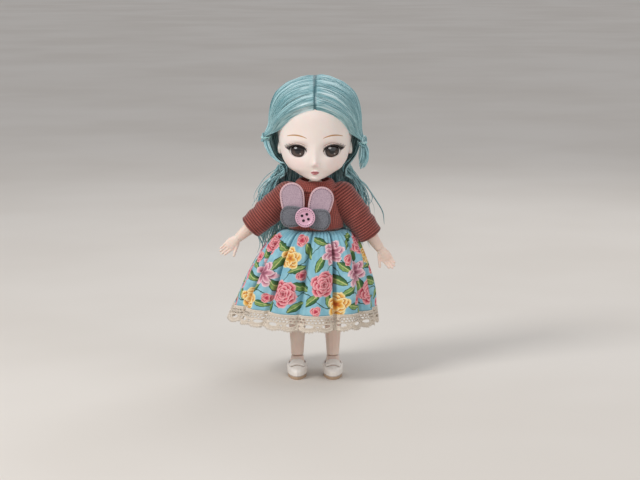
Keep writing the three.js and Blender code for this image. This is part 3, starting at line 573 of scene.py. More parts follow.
def tone(code: str) -> tuple[float, float, float, float]:
    """A linear colour from a six-digit sRGB code."""
    parts = [int(code[i : i + 2], 16) / 255 for i in (0, 2, 4)]
    linear = [p / 12.92 if p <= 0.04045 else ((p + 0.055) / 1.055) ** 2.4 for p in parts]
    return (*linear, 1.0)


@dataclass(frozen=True)
class Vinyl:
    """Soft moulded vinyl of the body, with the faint mottling of a matt mould."""

    name: str = "body_vinyl"
    light: str = "f0ddd0"
    deep: str = "e4c9b9"
    roughness: float = 0.5

    def make(self) -> Material:
        """The material."""
        board = MaterialBoard(self.name)
        cloud = board.noise(board.object_place, 60.0)
        colour = board.mix(board.step(cloud, 0.3, 0.75), self.light, self.deep)
        grain = board.noise(board.object_place, 4200.0, 2.0)
        return board.finish(
            Base_Color=colour,
            Roughness=board.math("MULTIPLY_ADD", cloud, 0.12, self.roughness - 0.06),
            Subsurface_Weight=0.18,
            Subsurface_Radius=(1.0, 0.42, 0.28),
            Subsurface_Scale=0.0016,
            Specular_IOR_Level=0.35,
            Normal=board.bump(grain, 0.015),
        )


@dataclass(frozen=True)
class FacePaint:
    """The face's vinyl with its painted brows, lids, blush and lips.

    Attributes:
        figure: The doll's landmarks.
        eye_x: The eyes' distance from the middle.
        eye_rise: The eyes' height above the neck ball.
        skin: Colour of the vinyl.
        mottle: Colour of its faint mottling.
        blush: Colour of cheeks and nose.
        lid_shade: Shade over the upper lid.
        brow: Colour of the brows.
        lid: Colour of the fold line over the lid.
        rim: Colour of the line round the eye.
        lips: Colour of the lips.
        mouth: Colour of the line between them.
    """

    figure: Figure
    eye_x: float
    eye_rise: float
    skin: str = "f3e6de"
    mottle: str = "ecd5ca"
    blush: str = "e7a9a4"
    lid_shade: str = "c99a8a"
    brow: str = "b98a55"
    lid: str = "8d5f4e"
    rim: str = "5b3a31"
    lips: str = "c27f80"
    mouth: str = "8a454b"

    def make(self) -> Material:
        """The material."""
        board = MaterialBoard("painted_face")
        x, y, z = board.doll_place(self.figure)
        across, rise = abs(x), z - self.figure.neck
        front = board.step(-y, 6.0, 9.0)
        cloud = board.noise(board.object_place, 70.0)
        cheek = self.spot(board, across - 10.6, rise - 4.4, 6.4, 4.6)
        nose = self.spot(board, across, rise - 4.4, 2.6, 2.2)
        lid_shade = self.spot(board, across - self.eye_x, rise - self.eye_rise - 2.6, 5.6, 3.4)
        lip, mouth = self.lip_masks(board, across, rise)
        colour = board.mix(board.step(cloud, 0.35, 0.75) * 0.35, self.skin, self.mottle)
        for mask, strength, paint in (
            (cheek, 0.17, self.blush), (nose, 0.16, self.blush), (lid_shade, 0.3, self.lid_shade),
            (self.brow_mask(board, across, rise), 1.0, self.brow),
            (self.crease_mask(board, across, rise), 0.75, self.lid),
            (self.rim_mask(board, across, rise), 0.85, self.rim),
            (lip, 1.0, self.lips), (mouth, 0.75, self.mouth),
        ):
            colour = board.mix(mask * front * strength, colour, paint)
        grain = board.noise(board.object_place, 4600.0, 2.0)
        return board.finish(
            Base_Color=colour,
            Roughness=board.math("MULTIPLY_ADD", lip * front, -0.14, 0.47),
            Subsurface_Weight=0.2,
            Subsurface_Radius=(1.0, 0.45, 0.32),
            Subsurface_Scale=0.0018,
            Specular_IOR_Level=0.38,
            Normal=board.bump(grain, 0.012),
        )

    @staticmethod
    def spot(board: Board, x: Field, z: Field, half_width: float, half_height: float) -> Field:
        """A soft oval spot."""
        far = (x / half_width) ** 2 + (z / half_height) ** 2
        return 1.0 - board.step(far, 0.0, 1.0)

    @staticmethod
    def brow_mask(board: Board, across: Field, rise: Field) -> Field:
        """A thin arched brow, finer at both ends."""
        along = (across - 9.4) / 5.4
        middle = 19.5 - (along**2) * 1.2 + along * 0.35
        half = 0.34 - (along**2) * 0.26
        off = abs(rise - middle) - half
        ends = 1.0 - board.step(abs(along), 0.9, 1.0)
        return (1.0 - board.step(off, -0.08, 0.12)) * ends

    def crease_mask(self, board: Board, across: Field, rise: Field) -> Field:
        """The painted fold line over the upper lid."""
        along = (across - self.eye_x - 0.2) / 5.3
        middle = self.eye_rise + 4.35 - (along**2) * 2.3
        off = abs(rise - middle)
        ends = 1.0 - board.step(abs(along), 0.7, 1.0)
        return (1.0 - board.step(off, 0.02, 0.22)) * ends

    def rim_mask(self, board: Board, across: Field, rise: Field) -> Field:
        """The fine line along the edge of the eye opening, weaker below."""
        x = (across - self.eye_x) / EyeOpening.half_width
        z = (rise - self.eye_rise) / EyeOpening.half_height
        far = (x**2 + abs(z) ** 1.75) ** 0.5
        above = board.math("MULTIPLY_ADD", board.step(z, -0.3, 0.3), 0.6, 0.4)
        return (1.0 - board.step(abs(far - 1.02), 0.0, 0.09)) * above

    @staticmethod
    def lip_masks(board: Board, across: Field, rise: Field) -> tuple[Field, Field]:
        """The two lips and the dark line between them."""
        taper = (across / 2.2) ** 2
        upper_edge = 1.02 - taper * 0.85 - board.math("EXPONENT", (across / 0.45) ** 2 * -1.0) * 0.2
        lower_edge = taper * 1.05 - 1.32
        inside = (upper_edge - rise).call("MINIMUM", rise - lower_edge)
        lip = board.step(inside, -0.05, 0.22) * (1.0 - board.step(across, 1.9, 2.4))
        line = abs(rise + 0.08 + taper * 0.12)
        return lip, (1.0 - board.step(line, 0.03, 0.16)) * (1.0 - board.step(across, 1.3, 2.1))


@dataclass(frozen=True)
class EyeGlass:
    """A glossy eye with a dark brown iris.

    Attributes:
        figure: The doll's landmarks.
        centre_x: Where the eye's middle is.
        centre_z: Its height.
        iris: Radius of the iris.
        pupil: Radius of the pupil.
        fibres: Dark and light brown of the iris.
        glow: Colour painted on its lower part for the light that comes through it.
        limbus: Colour of its edge.
        black: Colour of the pupil.
        glint: Colour of the large painted light.
        speck: Colour of the small painted reflection.
        whites: The white, plain and in the painted shadow of the lid.
    """

    figure: Figure
    centre_x: float
    centre_z: float
    iris: float = 3.6
    pupil: float = 1.55
    fibres: tuple[str, str] = ("120a08", "33211a")
    glow: str = "6e5a50"
    limbus: str = "140b09"
    black: str = "060404"
    glint: str = "efeeee"
    speck: str = "d8d2d0"
    whites: tuple[str, str] = ("e6e0dc", "9c9492")

    def make(self, name: str) -> Material:
        """The material.

        Args:
            name: The material's name.

        Returns:
            The material.
        """
        board = MaterialBoard(name)
        x, _, z = board.doll_place(self.figure)
        x, z = x - self.centre_x, z - self.centre_z
        far = (x**2 + z**2) ** 0.5
        turn = board.math("ARCTAN2", z, x)
        fibre = board.noise(board.vector(turn * 9.0, far * 0.7), 1.6, 4.0, 0.7)
        # Painted highlight at the upper left of the iris and a painted reflection at its lower right.
        glint = ((x + 1.15) ** 2) / 0.85 + ((z - 1.55) ** 2) / 0.36
        speck = (x - 1.3) ** 2 + (z + 1.5) ** 2
        brown = board.mix(board.step(fibre, 0.32, 0.68), *self.fibres)
        # Painted light on the iris's lower part, then its dark edge, the pupil, the painted highlight and the
        # painted reflection.
        for mask, paint in (
            (board.step(-z, -1.4, self.iris) * 0.6, self.glow),
            (board.step(far, self.iris * 0.72, self.iris * 0.98), self.limbus),
            (1.0 - board.step(far, self.pupil - 0.2, self.pupil + 0.2), self.black),
            ((1.0 - board.step(glint, 0.3, 1.0)) * 0.8, self.glint),
            ((1.0 - board.step(speck, 0.06, 0.22)) * 0.5, self.speck),
        ):
            brown = board.mix(mask, brown, paint)
        # The white darkens upwards: painted shadow of the upper lid.
        white = board.mix(board.step(z, -1.0, 3.0), *self.whites)
        colour = board.mix(board.step(far, self.iris - 0.05, self.iris + 0.12), brown, white)
        return board.finish(
            Base_Color=colour,
            Roughness=0.12,
            Specular_IOR_Level=0.4,
            Coat_Weight=0.5,
            Coat_Roughness=0.02,
        )


@dataclass(frozen=True)
class HairFibre:
    """Shiny synthetic fibre combed along the piece's own v direction.

    Attributes:
        name: The material's name.
        light: Colour of the fibres that catch the light.
        middle: Colour of most fibres.
        deep: Colour of the painted shade between the fibres.
        shine: Colour of the painted highlight band near the parting.
        roots: Colour at the roots.
        across: Fineness across the fibres.
        along: Fineness along them.
        root: How far the darker roots reach, in millimetres; 0 leaves out the roots and the painted highlight
            band.
    """

    name: str = "hair_fibre"
    light: str = "c3e2e4"
    middle: str = "86b9bf"
    deep: str = "3a737c"
    shine: str = "e4f0f1"
    roots: str = "1d565e"
    across: float = 60.0
    along: float = 0.05
    root: float = 0.0

    def make(self) -> Material:
        """The material."""
        board = MaterialBoard(self.name)
        u, v, _ = board.xyz(board.uv)
        fine = board.noise(board.vector(u * self.across, v * self.along), 1.0, 5.0, 0.65)
        lock = board.noise(board.vector(u * self.across * 0.13, v * self.along * 0.6), 1.0, 3.0)
        # Painted light and shade: streaks run from the shade colour between the fibres to the lit colour on
        # them.
        colour = board.mix(board.step(fine, 0.3, 0.62), self.deep, self.middle)
        colour = board.mix(board.step(fine * 0.6 + lock * 0.5, 0.46, 0.72), colour, self.light)
        if self.root > 0:
            # Painted highlight: a lighter band of fibres a little below the roots.
            shine = board.step(v, 2.0, 7.0) * (1.0 - board.step(v, 9.0, 25.0))
            shine = shine * board.step(lock * 0.8 + fine * 0.5, 0.5, 0.8)
            colour = board.mix(shine * 0.55, colour, self.shine)
            dark = 1.0 - board.step(v + (fine - 0.5) * 0.8 * self.root, self.root * 0.3, self.root)
            colour = board.mix(dark * 0.9, colour, self.roots)
        return board.finish(
            Base_Color=colour,
            Roughness=board.math("MULTIPLY_ADD", fine, 0.2, 0.24),
            Specular_IOR_Level=0.6,
            Sheen_Weight=0.15,
            Sheen_Roughness=0.4,
            Normal=board.bump(fine, 0.16, 0.8),
        )


@dataclass(frozen=True)
class RibKnit:
    """Rust wool knitted in ribs, with painted shade in the grooves; u counts ribs and v counts stitches."""

    name: str = "rib_knit"
    ridge: str = "b65d53"
    groove: str = "471815"
    fuzz: str = "c27a6e"
    shade: str = "7c372f"

    def make(self) -> Material:
        """The material."""
        board = MaterialBoard(self.name)
        u, v, _ = board.xyz(board.uv)
        rib = abs(u.call("FRACT") - 0.5) * 2.0
        leg = (v - rib * 0.55).call("FRACT") - 0.5
        stitch = 1.0 - board.step(abs(leg), 0.12, 0.5)
        wool = board.noise(board.object_place, 2600.0, 4.0, 0.7)
        cloud = board.noise(board.object_place, 190.0, 3.0)
        # Painted light and shade: crests and stitch legs take the ridge colour, grooves and gaps between
        # stitches the dark groove colour.
        high = (1.0 - board.step(rib, 0.35, 0.95)) * board.math("MULTIPLY_ADD", stitch, 0.45, 0.55)
        colour = board.mix(high, self.groove, self.ridge)
        colour = board.mix(board.step(wool, 0.35, 0.75) * 0.35, colour, self.fuzz)
        colour = board.mix(board.step(cloud, 0.35, 0.7) * 0.3, colour, self.shade)
        height = high + wool * 0.45
        return board.finish(
            Base_Color=colour,
            Roughness=0.92,
            Specular_IOR_Level=0.2,
            Sheen_Weight=0.35,
            Sheen_Roughness=0.5,
            Normal=board.bump(height, 0.3, 0.8),
        )


@dataclass(frozen=True)
class Felt:
    """Pressed wool felt with a matted surface."""

    name: str
    light: str
    deep: str

    def make(self) -> Material:
        """The material."""
        board = MaterialBoard(self.name)
        mat = board.noise(board.object_place, 1500.0, 5.0, 0.75)
        cloud = board.noise(board.object_place, 420.0, 4.0, 0.7)
        colour = board.mix(board.step(mat, 0.34, 0.66), self.deep, self.light)
        colour = board.mix(board.step(cloud, 0.45, 0.7) * 0.35, colour, self.deep)
        return board.finish(
            Base_Color=colour,
            Roughness=0.97,
            Specular_IOR_Level=0.12,
            Sheen_Weight=0.4,
            Sheen_Roughness=0.6,
            Normal=board.bump(mat + cloud, 0.16, 0.9),
        )


@dataclass(frozen=True)
class Plastic:
    """Plain moulded or enamelled plastic with a little wear in its gloss."""

    name: str
    colour: str
    worn: str
    roughness: float = 0.35
    coat: float = 0.2

    def make(self) -> Material:
        """The material."""
        board = MaterialBoard(self.name)
        cloud = board.noise(board.object_place, 240.0, 4.0)
        colour = board.mix(board.step(cloud, 0.4, 0.75) * 0.5, self.colour, self.worn)
        return board.finish(
            Base_Color=colour,
            Roughness=board.math("MULTIPLY_ADD", cloud, 0.2, self.roughness - 0.1),
            Coat_Weight=self.coat,
            Coat_Roughness=0.2,
            Normal=board.bump(cloud, 0.03),
        )


@dataclass(frozen=True)
class ShoeVinyl:
    """White shoe vinyl over a tan sole, with a fine groove between them.

    Attributes:
        figure: The doll's landmarks.
        upper: Colour of the upper.
        worn: Colour of its duller spots.
        sole: Colour of the sole.
        groove: Colour of the line between them.
        welt: Height of that line.
    """

    figure: Figure
    upper: str = "f3ece4"
    worn: str = "e2d8cc"
    sole: str = "b4987d"
    groove: str = "7d6a5a"
    welt: float = 1.7

    def make(self) -> Material:
        """The material."""
        board = MaterialBoard("shoe_vinyl")
        _, _, z = board.doll_place(self.figure)
        cloud = board.noise(board.object_place, 240.0, 4.0)
        upper = board.mix(board.step(cloud, 0.4, 0.75) * 0.4, self.upper, self.worn)
        on_sole = 1.0 - board.step(z, self.welt - 0.08, self.welt + 0.08)
        colour = board.mix(on_sole, upper, self.sole)
        groove = 1.0 - board.step(abs(z - self.welt - 0.2), 0.05, 0.24)
        colour = board.mix(groove * 0.6, colour, self.groove)
        return board.finish(
            Base_Color=colour,
            Roughness=board.math("MULTIPLY_ADD", on_sole, 0.25, 0.36),
            Coat_Weight=0.25,
            Coat_Roughness=0.2,
            Normal=board.bump(cloud * 0.2 - groove, 0.12),
        )


@dataclass(frozen=True)
class Thread:
    """Twisted cotton thread; v runs along it in millimetres."""

    name: str
    colour: str
    deep: str
    ply: float = 1.3

    def make(self) -> Material:
        """The material."""
        board = MaterialBoard(self.name)
        u, v, _ = board.xyz(board.uv)
        twist = ((v * self.ply + u * 2.0) * TURN).call("SINE") * 0.5 + 0.5
        fuzz = board.noise(board.object_place, 3200.0, 3.0)
        lit = board.step(twist + (fuzz - 0.5) * 0.8, 0.1, 0.7)
        colour = board.mix(lit, self.deep, self.colour)
        return board.finish(
            Base_Color=colour,
            Roughness=0.9,
            Specular_IOR_Level=0.2,
            Sheen_Weight=0.2,
            Normal=board.bump(twist + fuzz * 0.6, 0.12, 0.8),
        )


@dataclass(frozen=True)
class ChintzCotton:
    """Sky-blue cotton printed with roses, lilies, buds and leaves; u and v are millimetres of cloth.

    Attributes:
        repeat: Width after which the flowers repeat, as on a printed cloth.
        ground: Colour of the ground.
        wash: Colour of its paler clouds.
        stem: Colour of the stems.
        shadow: Colour between the threads.
        threads: Threads in a millimetre.
        blossoms: The printed flowers.
        leaves: The printed leaves.
    """

    repeat: float = 58.0
    ground: str = "84b8c8"
    wash: str = "9bcbd6"
    stem: str = "2f4a33"
    shadow: str = "2c3f4a"
    threads: float = 2.6

    # Kind, middle u, middle v, radius, turn
    blossoms: tuple[tuple[str, float, float, float, float], ...] = (
        ("lily", 30.0, 24.0, 8.4, 0.9), ("yellow", 19.5, 40.5, 7.2, 0.2), ("lily", 12.0, 11.5, 7.0, 2.4),
        ("yellow", 46.0, 14.5, 6.6, 1.5), ("rose", 8.5, 28.5, 7.8, 0.3), ("rose", 44.5, 34.5, 8.2, 2.1),
        ("rose", 31.5, 7.5, 6.2, 1.2), ("bud", 22.0, 15.5, 3.6, 0.5), ("bud", 53.5, 24.0, 3.4, 1.1),
        ("bud", 33.0, 38.5, 3.2, 2.0), ("bud", 51.5, 4.5, 3.6, 0.2), ("bud", 6.0, 43.5, 3.2, 0.9),
    )

    # Middle u, middle v, half length, half width, turn
    leaves: tuple[tuple[float, float, float, float, float], ...] = (
        (17.8, 26.8, 6.0, 2.6, 0.5), (3.0, 37.6, 5.6, 2.4, 2.4), (36.6, 31.6, 6.0, 2.6, 1.0),
        (24.6, 33.0, 5.4, 2.3, 2.5), (53.6, 30.4, 6.2, 2.7, 0.3), (40.2, 8.6, 5.4, 2.3, 0.7),
        (38.2, 17.6, 5.4, 2.3, 2.2), (19.6, 19.6, 5.2, 2.2, 0.6), (4.8, 17.4, 5.2, 2.2, 1.9),
        (50.6, 20.6, 5.2, 2.3, 2.8), (56.4, 10.6, 5.6, 2.4, 1.1), (30.0, 41.8, 5.2, 2.2, 0.2),
        (52.0, 41.8, 5.6, 2.4, 2.6), (21.6, 5.4, 5.4, 2.3, 2.1), (12.6, 37.4, 4.8, 2.0, 1.3),
        (36.4, 43.2, 4.6, 1.9, 1.7), (3.4, 5.0, 4.8, 2.0, 0.4), (27.6, 14.2, 4.2, 1.8, 1.2),
    )

    def make(self) -> Material:
        """The material."""
        board = MaterialBoard("chintz_cotton")
        weave_u, weave_v, _ = board.xyz(board.uv)
        wobble = board.noise(board.vector(weave_u, weave_v), 0.55, 2.0)
        u = board.math("FLOORED_MODULO", weave_u, self.repeat) + (wobble - 0.5) * 1.1
        v = weave_v + (board.noise(board.vector(weave_v, u), 0.5, 2.0) - 0.5) * 1.1
        wash = board.noise(board.vector(u, v), 0.16, 3.0)
        colour = board.mix(board.step(wash, 0.35, 0.7), self.ground, self.wash)
        colour = board.mix(self.stems(board, u, v), colour, self.stem)
        leaf = self.leaf_group()
        for row in self.leaves:
            colour = self.place(board, leaf, u, v, row, colour)
        blossom = self.blossom_group()
        for kind, *row in self.blossoms:
            colour = self.place(board, blossom, u, v, row, colour, self.palette(kind))
        warp, weft = ((way * (TURN * self.threads)).call("SINE") for way in (weave_u, weave_v))
        weave = warp * weft * 0.5 + 0.5
        colour = board.mix(weave * 0.1, colour, self.shadow)
        return board.finish(
            Base_Color=colour,
            Roughness=0.82,
            Specular_IOR_Level=0.25,
            Sheen_Weight=0.12,
            Normal=board.bump(weave, 0.05, 0.6),
        )

    @staticmethod
    def stems(board: Board, u: Field, v: Field) -> Field:
        """Thin curling stems between the flowers."""
        first = abs(v - (u * 0.325 + 0.6).call("SINE") * 5.0 - 23.0)
        other = abs(v + (u * 0.2167).call("SINE") * 6.0 - 12.0)
        third = abs(v + (u * 0.2167 + 1.9).call("SINE") * 4.0 - 38.0)
        near = first.call("MINIMUM", other).call("MINIMUM", third)
        return 1.0 - board.step(near, 0.15, 0.4)

    @staticmethod
    def palette(kind: str) -> dict[str, object]:
        """Petal colours and counts of a kind of flower."""
        heart, body, edge, petals, notch, rounds = {
            "rose": ("8e1c2e", "d2475b", "f4b4b6", 5.0, 0.2, 4.0),
            "lily": ("8a4a5c", "d893a4", "f3d3d6", 6.0, 0.46, 1.0),
            "yellow": ("b5561f", "edb04a", "f8e8b0", 5.0, 0.3, 2.0),
            "bud": ("9c2233", "dd6070", "f3b9b4", 3.0, 0.22, 2.0),
        }[kind]
        return {
            "Heart": heart, "Body": body, "Edge": edge,
            "Petals": petals, "Notch": notch, "Rounds": rounds,
        }

    @staticmethod
    def place(
        board: Board, group: bpy.types.NodeTree, u: Field, v: Field, row: Sequence[float],
        under: object, extra: dict[str, object] | None = None,
    ) -> Socket:
        """Puts one motif over the cloth's colour.

        Args:
            board: The material's nodes.
            group: The motif's node group.
            u: Cloth coordinate across.
            v: Cloth coordinate down.
            row: Middle u, middle v, the motif's sizes and its turn.
            under: The colour below.
            extra: The motif's other inputs.

        Returns:
            The colour with the motif on it.
        """
        names = ["Middle U", "Middle V", *(["Radius"] if len(row) == 4 else ["Length", "Width"]), "Turn"]
        made = board.tree.nodes.new("ShaderNodeGroup")
        made.node_tree = group
        for key, value in {"U": u, "V": v, **dict(zip(names, row)), **(extra or {})}.items():
            board.feed(made.inputs[key], value)
        return board.mix(made.outputs["Cover"], under, made.outputs["Colour"])

    @staticmethod
    def new_group(name: str, numbers: Sequence[str], colours: Sequence[str]) -> tuple[Board, dict, dict]:
        """A node group with number and colour inputs and Colour and Cover outputs.

        Args:
            name: The group's name.
            numbers: Names of the number inputs.
            colours: Names of the colour inputs.

        Returns:
            Its board, its inputs by name and its output sockets by name.
        """
        tree = bpy.data.node_groups.new(name, "ShaderNodeTree")
        for key in numbers:
            tree.interface.new_socket(key, in_out="INPUT", socket_type="NodeSocketFloat")
        for key in colours:
            tree.interface.new_socket(key, in_out="INPUT", socket_type="NodeSocketColor")
        tree.interface.new_socket("Colour", in_out="OUTPUT", socket_type="NodeSocketColor")
        tree.interface.new_socket("Cover", in_out="OUTPUT", socket_type="NodeSocketFloat")
        board = Board(tree)
        inside = tree.nodes.new("NodeGroupInput")
        outside = tree.nodes.new("NodeGroupOutput")
        fields = {key: Field(board, inside.outputs[key]) for key in numbers}
        fields |= {key: inside.outputs[key] for key in colours}
        return board, fields, {"Colour": outside.inputs["Colour"], "Cover": outside.inputs["Cover"]}

    def leaf_group(self) -> bpy.types.NodeTree:
        """One printed leaf with a dark outline and a midrib."""
        numbers = ["U", "V", "Middle U", "Middle V", "Length", "Width", "Turn"]
        board, at, out = self.new_group("printed_leaf", numbers, [])
        du, dv = at["U"] - at["Middle U"], at["V"] - at["Middle V"]
        c, s = at["Turn"].call("COSINE"), at["Turn"].call("SINE")
        along = (du * c + dv * s) / at["Length"]
        off = (dv * c - du * s) / at["Width"]
        width = 1.0 - along**2
        rib = abs(off)
        inside = width.call("MAXIMUM", 0.0) ** 0.8 - rib
        veins = (along * 11.0 - rib * 4.0).call("SINE") * 0.5 + 0.5
        green = board.mix(board.step(off, -0.6, 0.6), "3f6b3c", "8fae62")
        for share, ink in (
            (veins * 0.3, "2f5230"),
            (1.0 - board.step(rib, 0.03, 0.14), "c0c980"),
            (1.0 - board.step(inside, 0.1, 0.3), "22392a"),
        ):
            green = board.mix(share, green, ink)
        board.feed(out["Colour"], green)
        board.feed(out["Cover"], board.step(inside, 0.0, 0.1))
        return board.tree

    def blossom_group(self) -> bpy.types.NodeTree:
        """One printed flower: rounds of petals, each over the one outside it."""
        numbers = ["U", "V", "Middle U", "Middle V", "Radius", "Turn", "Petals", "Notch", "Rounds"]
        board, at, out = self.new_group("printed_flower", numbers, ["Heart", "Body", "Edge"])
        du, dv = at["U"] - at["Middle U"], at["V"] - at["Middle V"]
        fine = board.noise(board.vector(at["U"], at["V"]), 0.8, 2.0)
        far = (du * du + dv * dv).call("SQRT") / at["Radius"] + (fine - 0.5) * 0.22
        turn = board.math("ARCTAN2", dv, du) + at["Turn"]
        level = ((1.0 - far) / 0.2).call("FLOOR").call("MAXIMUM", 0.0).call("MINIMUM", at["Rounds"])
        within = []
        for ring in (level, (level - 1.0).call("MAXIMUM", 0.0)):
            lobes = abs((turn * 0.5 * at["Petals"] + ring * 0.9).call("COSINE"))
            rim = (1.0 - at["Notch"] * (1.0 - lobes)) * (1.0 - ring * 0.2)
            within.append(rim - far)
        on_inner = board.step(within[0], 0.0, 0.03)
        inside = within[1] + (within[0] - within[1]) * on_inner
        blush = board.step(inside + (fine - 0.5) * 0.3, 0.0, 0.26)
        colour = board.mix(blush, at["Edge"], at["Body"])
        colour = board.mix(board.step(inside, 0.16, 0.5) * 0.8, colour, at["Heart"])
        shade = (1.0 - board.step(-within[0], 0.0, 0.1)) * (1.0 - on_inner)
        colour = board.mix(shade * 0.8, colour, at["Heart"])
        colour = board.mix((1.0 - board.step(far, 0.08, 0.18)) * 0.8, colour, at["Heart"])
        board.feed(out["Colour"], colour)
        deep = board.math("GREATER_THAN", level, 1.5)
        cover = board.step(within[0].call("MAXIMUM", within[1]), 0.0, 0.03).call("MAXIMUM", deep)
        board.feed(out["Cover"], cover)
        return board.tree


@dataclass(frozen=True)
class EyeOpening:
    """The almond opening in the face round each eye.

    Attributes:
        half_width: Half its width.
        half_height: Half its height.
        outer_lift: How much higher the outer corner is.
        pointed: Power that draws its corners to a point.
    """

    half_width: float = 4.45
    half_height: float = 3.2
    outer_lift: float = 0.35
    pointed: float = 1.12

    def rim(self, turn: Array) -> tuple[Array, Array]:
        """x and z of the left opening's edge at these angles, from its middle."""
        sine = np.sin(turn)
        arch = self.half_height * np.sign(sine) * np.abs(sine) ** self.pointed
        return self.half_width * np.cos(turn), arch + self.outer_lift * np.cos(turn)


@dataclass
class HeadForm:
    """The head's surface as rings read from stations, with soft bumps for the features.

    Attributes:
        figure: The doll's landmarks.
        eye_x: The eyes' distance from the middle.
        eye_rise: The eyes' height above the neck ball.
        stations: Rows of rise above the neck ball, half width, front and back.
        features: Rows of x, rise, forward, spread across and spread upwards.
    """

    figure: Figure
    eye_x: float = 8.9
    eye_rise: float = 11.2
    stations: tuple[tuple[float, ...], ...] = (
        (-4.6, 2.0, 13.4, -9.5), (-3.4, 6.0, 14.8, 5.0), (-2.0, 8.6, 15.6, 7.8),
        (1.3, 13.8, 16.9, 11.4), (6.0, 16.9, 18.0, 15.6), (13.0, 18.7, 18.7, 19.4),
        (21.0, 19.5, 19.4, 21.0), (30.0, 19.3, 19.6, 20.8), (38.0, 16.4, 16.8, 18.0),
        (43.5, 10.4, 10.8, 11.8), (46.0, 3.4, 3.6, 4.0),
    )
    features: tuple[tuple[float, ...], ...] = (
        (0.0, 4.6, 1.6, 1.5, 1.35), (0.0, 6.2, 0.9, 1.7, 2.4), (0.0, 10.0, 0.65, 1.7, 4.0),
        (1.2, 3.9, 0.4, 0.7, 0.7), (-1.2, 3.9, 0.4, 0.7, 0.7), (0.0, 2.2, -0.25, 0.6, 0.9),
        (0.75, 0.55, 0.6, 1.0, 0.5), (-0.75, 0.55, 0.6, 1.0, 0.5), (0.0, -0.75, 0.85, 1.6, 0.6),
        (0.0, -0.08, -0.5, 1.9, 0.2), (0.0, -1.95, -0.3, 1.8, 0.55), (0.0, -3.5, 0.75, 2.8, 1.3),
        (9.4, 2.4, 0.75, 4.6, 3.8), (-9.4, 2.4, 0.75, 4.6, 3.8), (8.9, 11.2, -0.9, 4.8, 3.4),
        (-8.9, 11.2, -0.9, 4.8, 3.4), (5.0, 11.6, -0.8, 2.0, 3.2), (-5.0, 11.6, -0.8, 2.0, 3.2),
        (8.5, 16.8, 0.3, 4.6, 1.9), (-8.5, 16.8, 0.3, 4.6, 1.9),
    )

    def sizes(self, rise: Array) -> tuple[Array, Array, Array]:
        """Half width, middle y and half depth at each rise."""
        read = read_table(np.array(self.stations), rise)
        width, front, back = read[..., 0], read[..., 1], read[..., 2]
        return width, (back - front) / 2, (front + back) / 2

    def relief(self, x: Array, rise: Array) -> Array:
        """How far the features stand forward of the plain rings."""
        total = np.zeros(np.broadcast(x, rise).shape)
        for across, up, forward, spread_x, spread_z in self.features:
            total += forward * np.exp(-(((x - across) / spread_x) ** 2) - ((rise - up) / spread_z) ** 2)
        opening = EyeOpening()
        for side in Side:
            dx = (x * side.value - self.eye_x) / opening.half_width
            dz = (rise - self.eye_rise - opening.outer_lift * dx) / opening.half_height
            far = np.sqrt(dx**2 + dz**2)
            total += 0.34 * np.exp(-(((far - 1.1) / 0.15) ** 2)) * (0.55 + 0.45 * np.tanh(2 * dz))
            total -= 0.16 * np.exp(-(((far - 1.42) / 0.09) ** 2)) * smooth_step(0.0, 0.6, dz)
        return total

    def point(self, turn: Array, rise: Array) -> Array:
        """Points on the head's surface, with turn 0 at the front."""
        width, middle, depth = self.sizes(rise)
        x = width * np.sin(turn)
        y = middle - depth * np.cos(turn)
        y = y - np.where(np.cos(turn) > 0, self.relief(x, rise), 0.0)
        return np.stack([x, y, rise + self.figure.neck + 0 * x], -1)

    def front_y(self, x: float, rise: float) -> float:
        """The face's y at one place seen from the front."""
        width, middle, depth = self.sizes(np.array(rise))
        cosine = math.sqrt(max(1 - (x / float(width)) ** 2, 0.0))
        return float(middle) - float(depth) * cosine - float(self.relief(np.array(x), np.array(rise)))


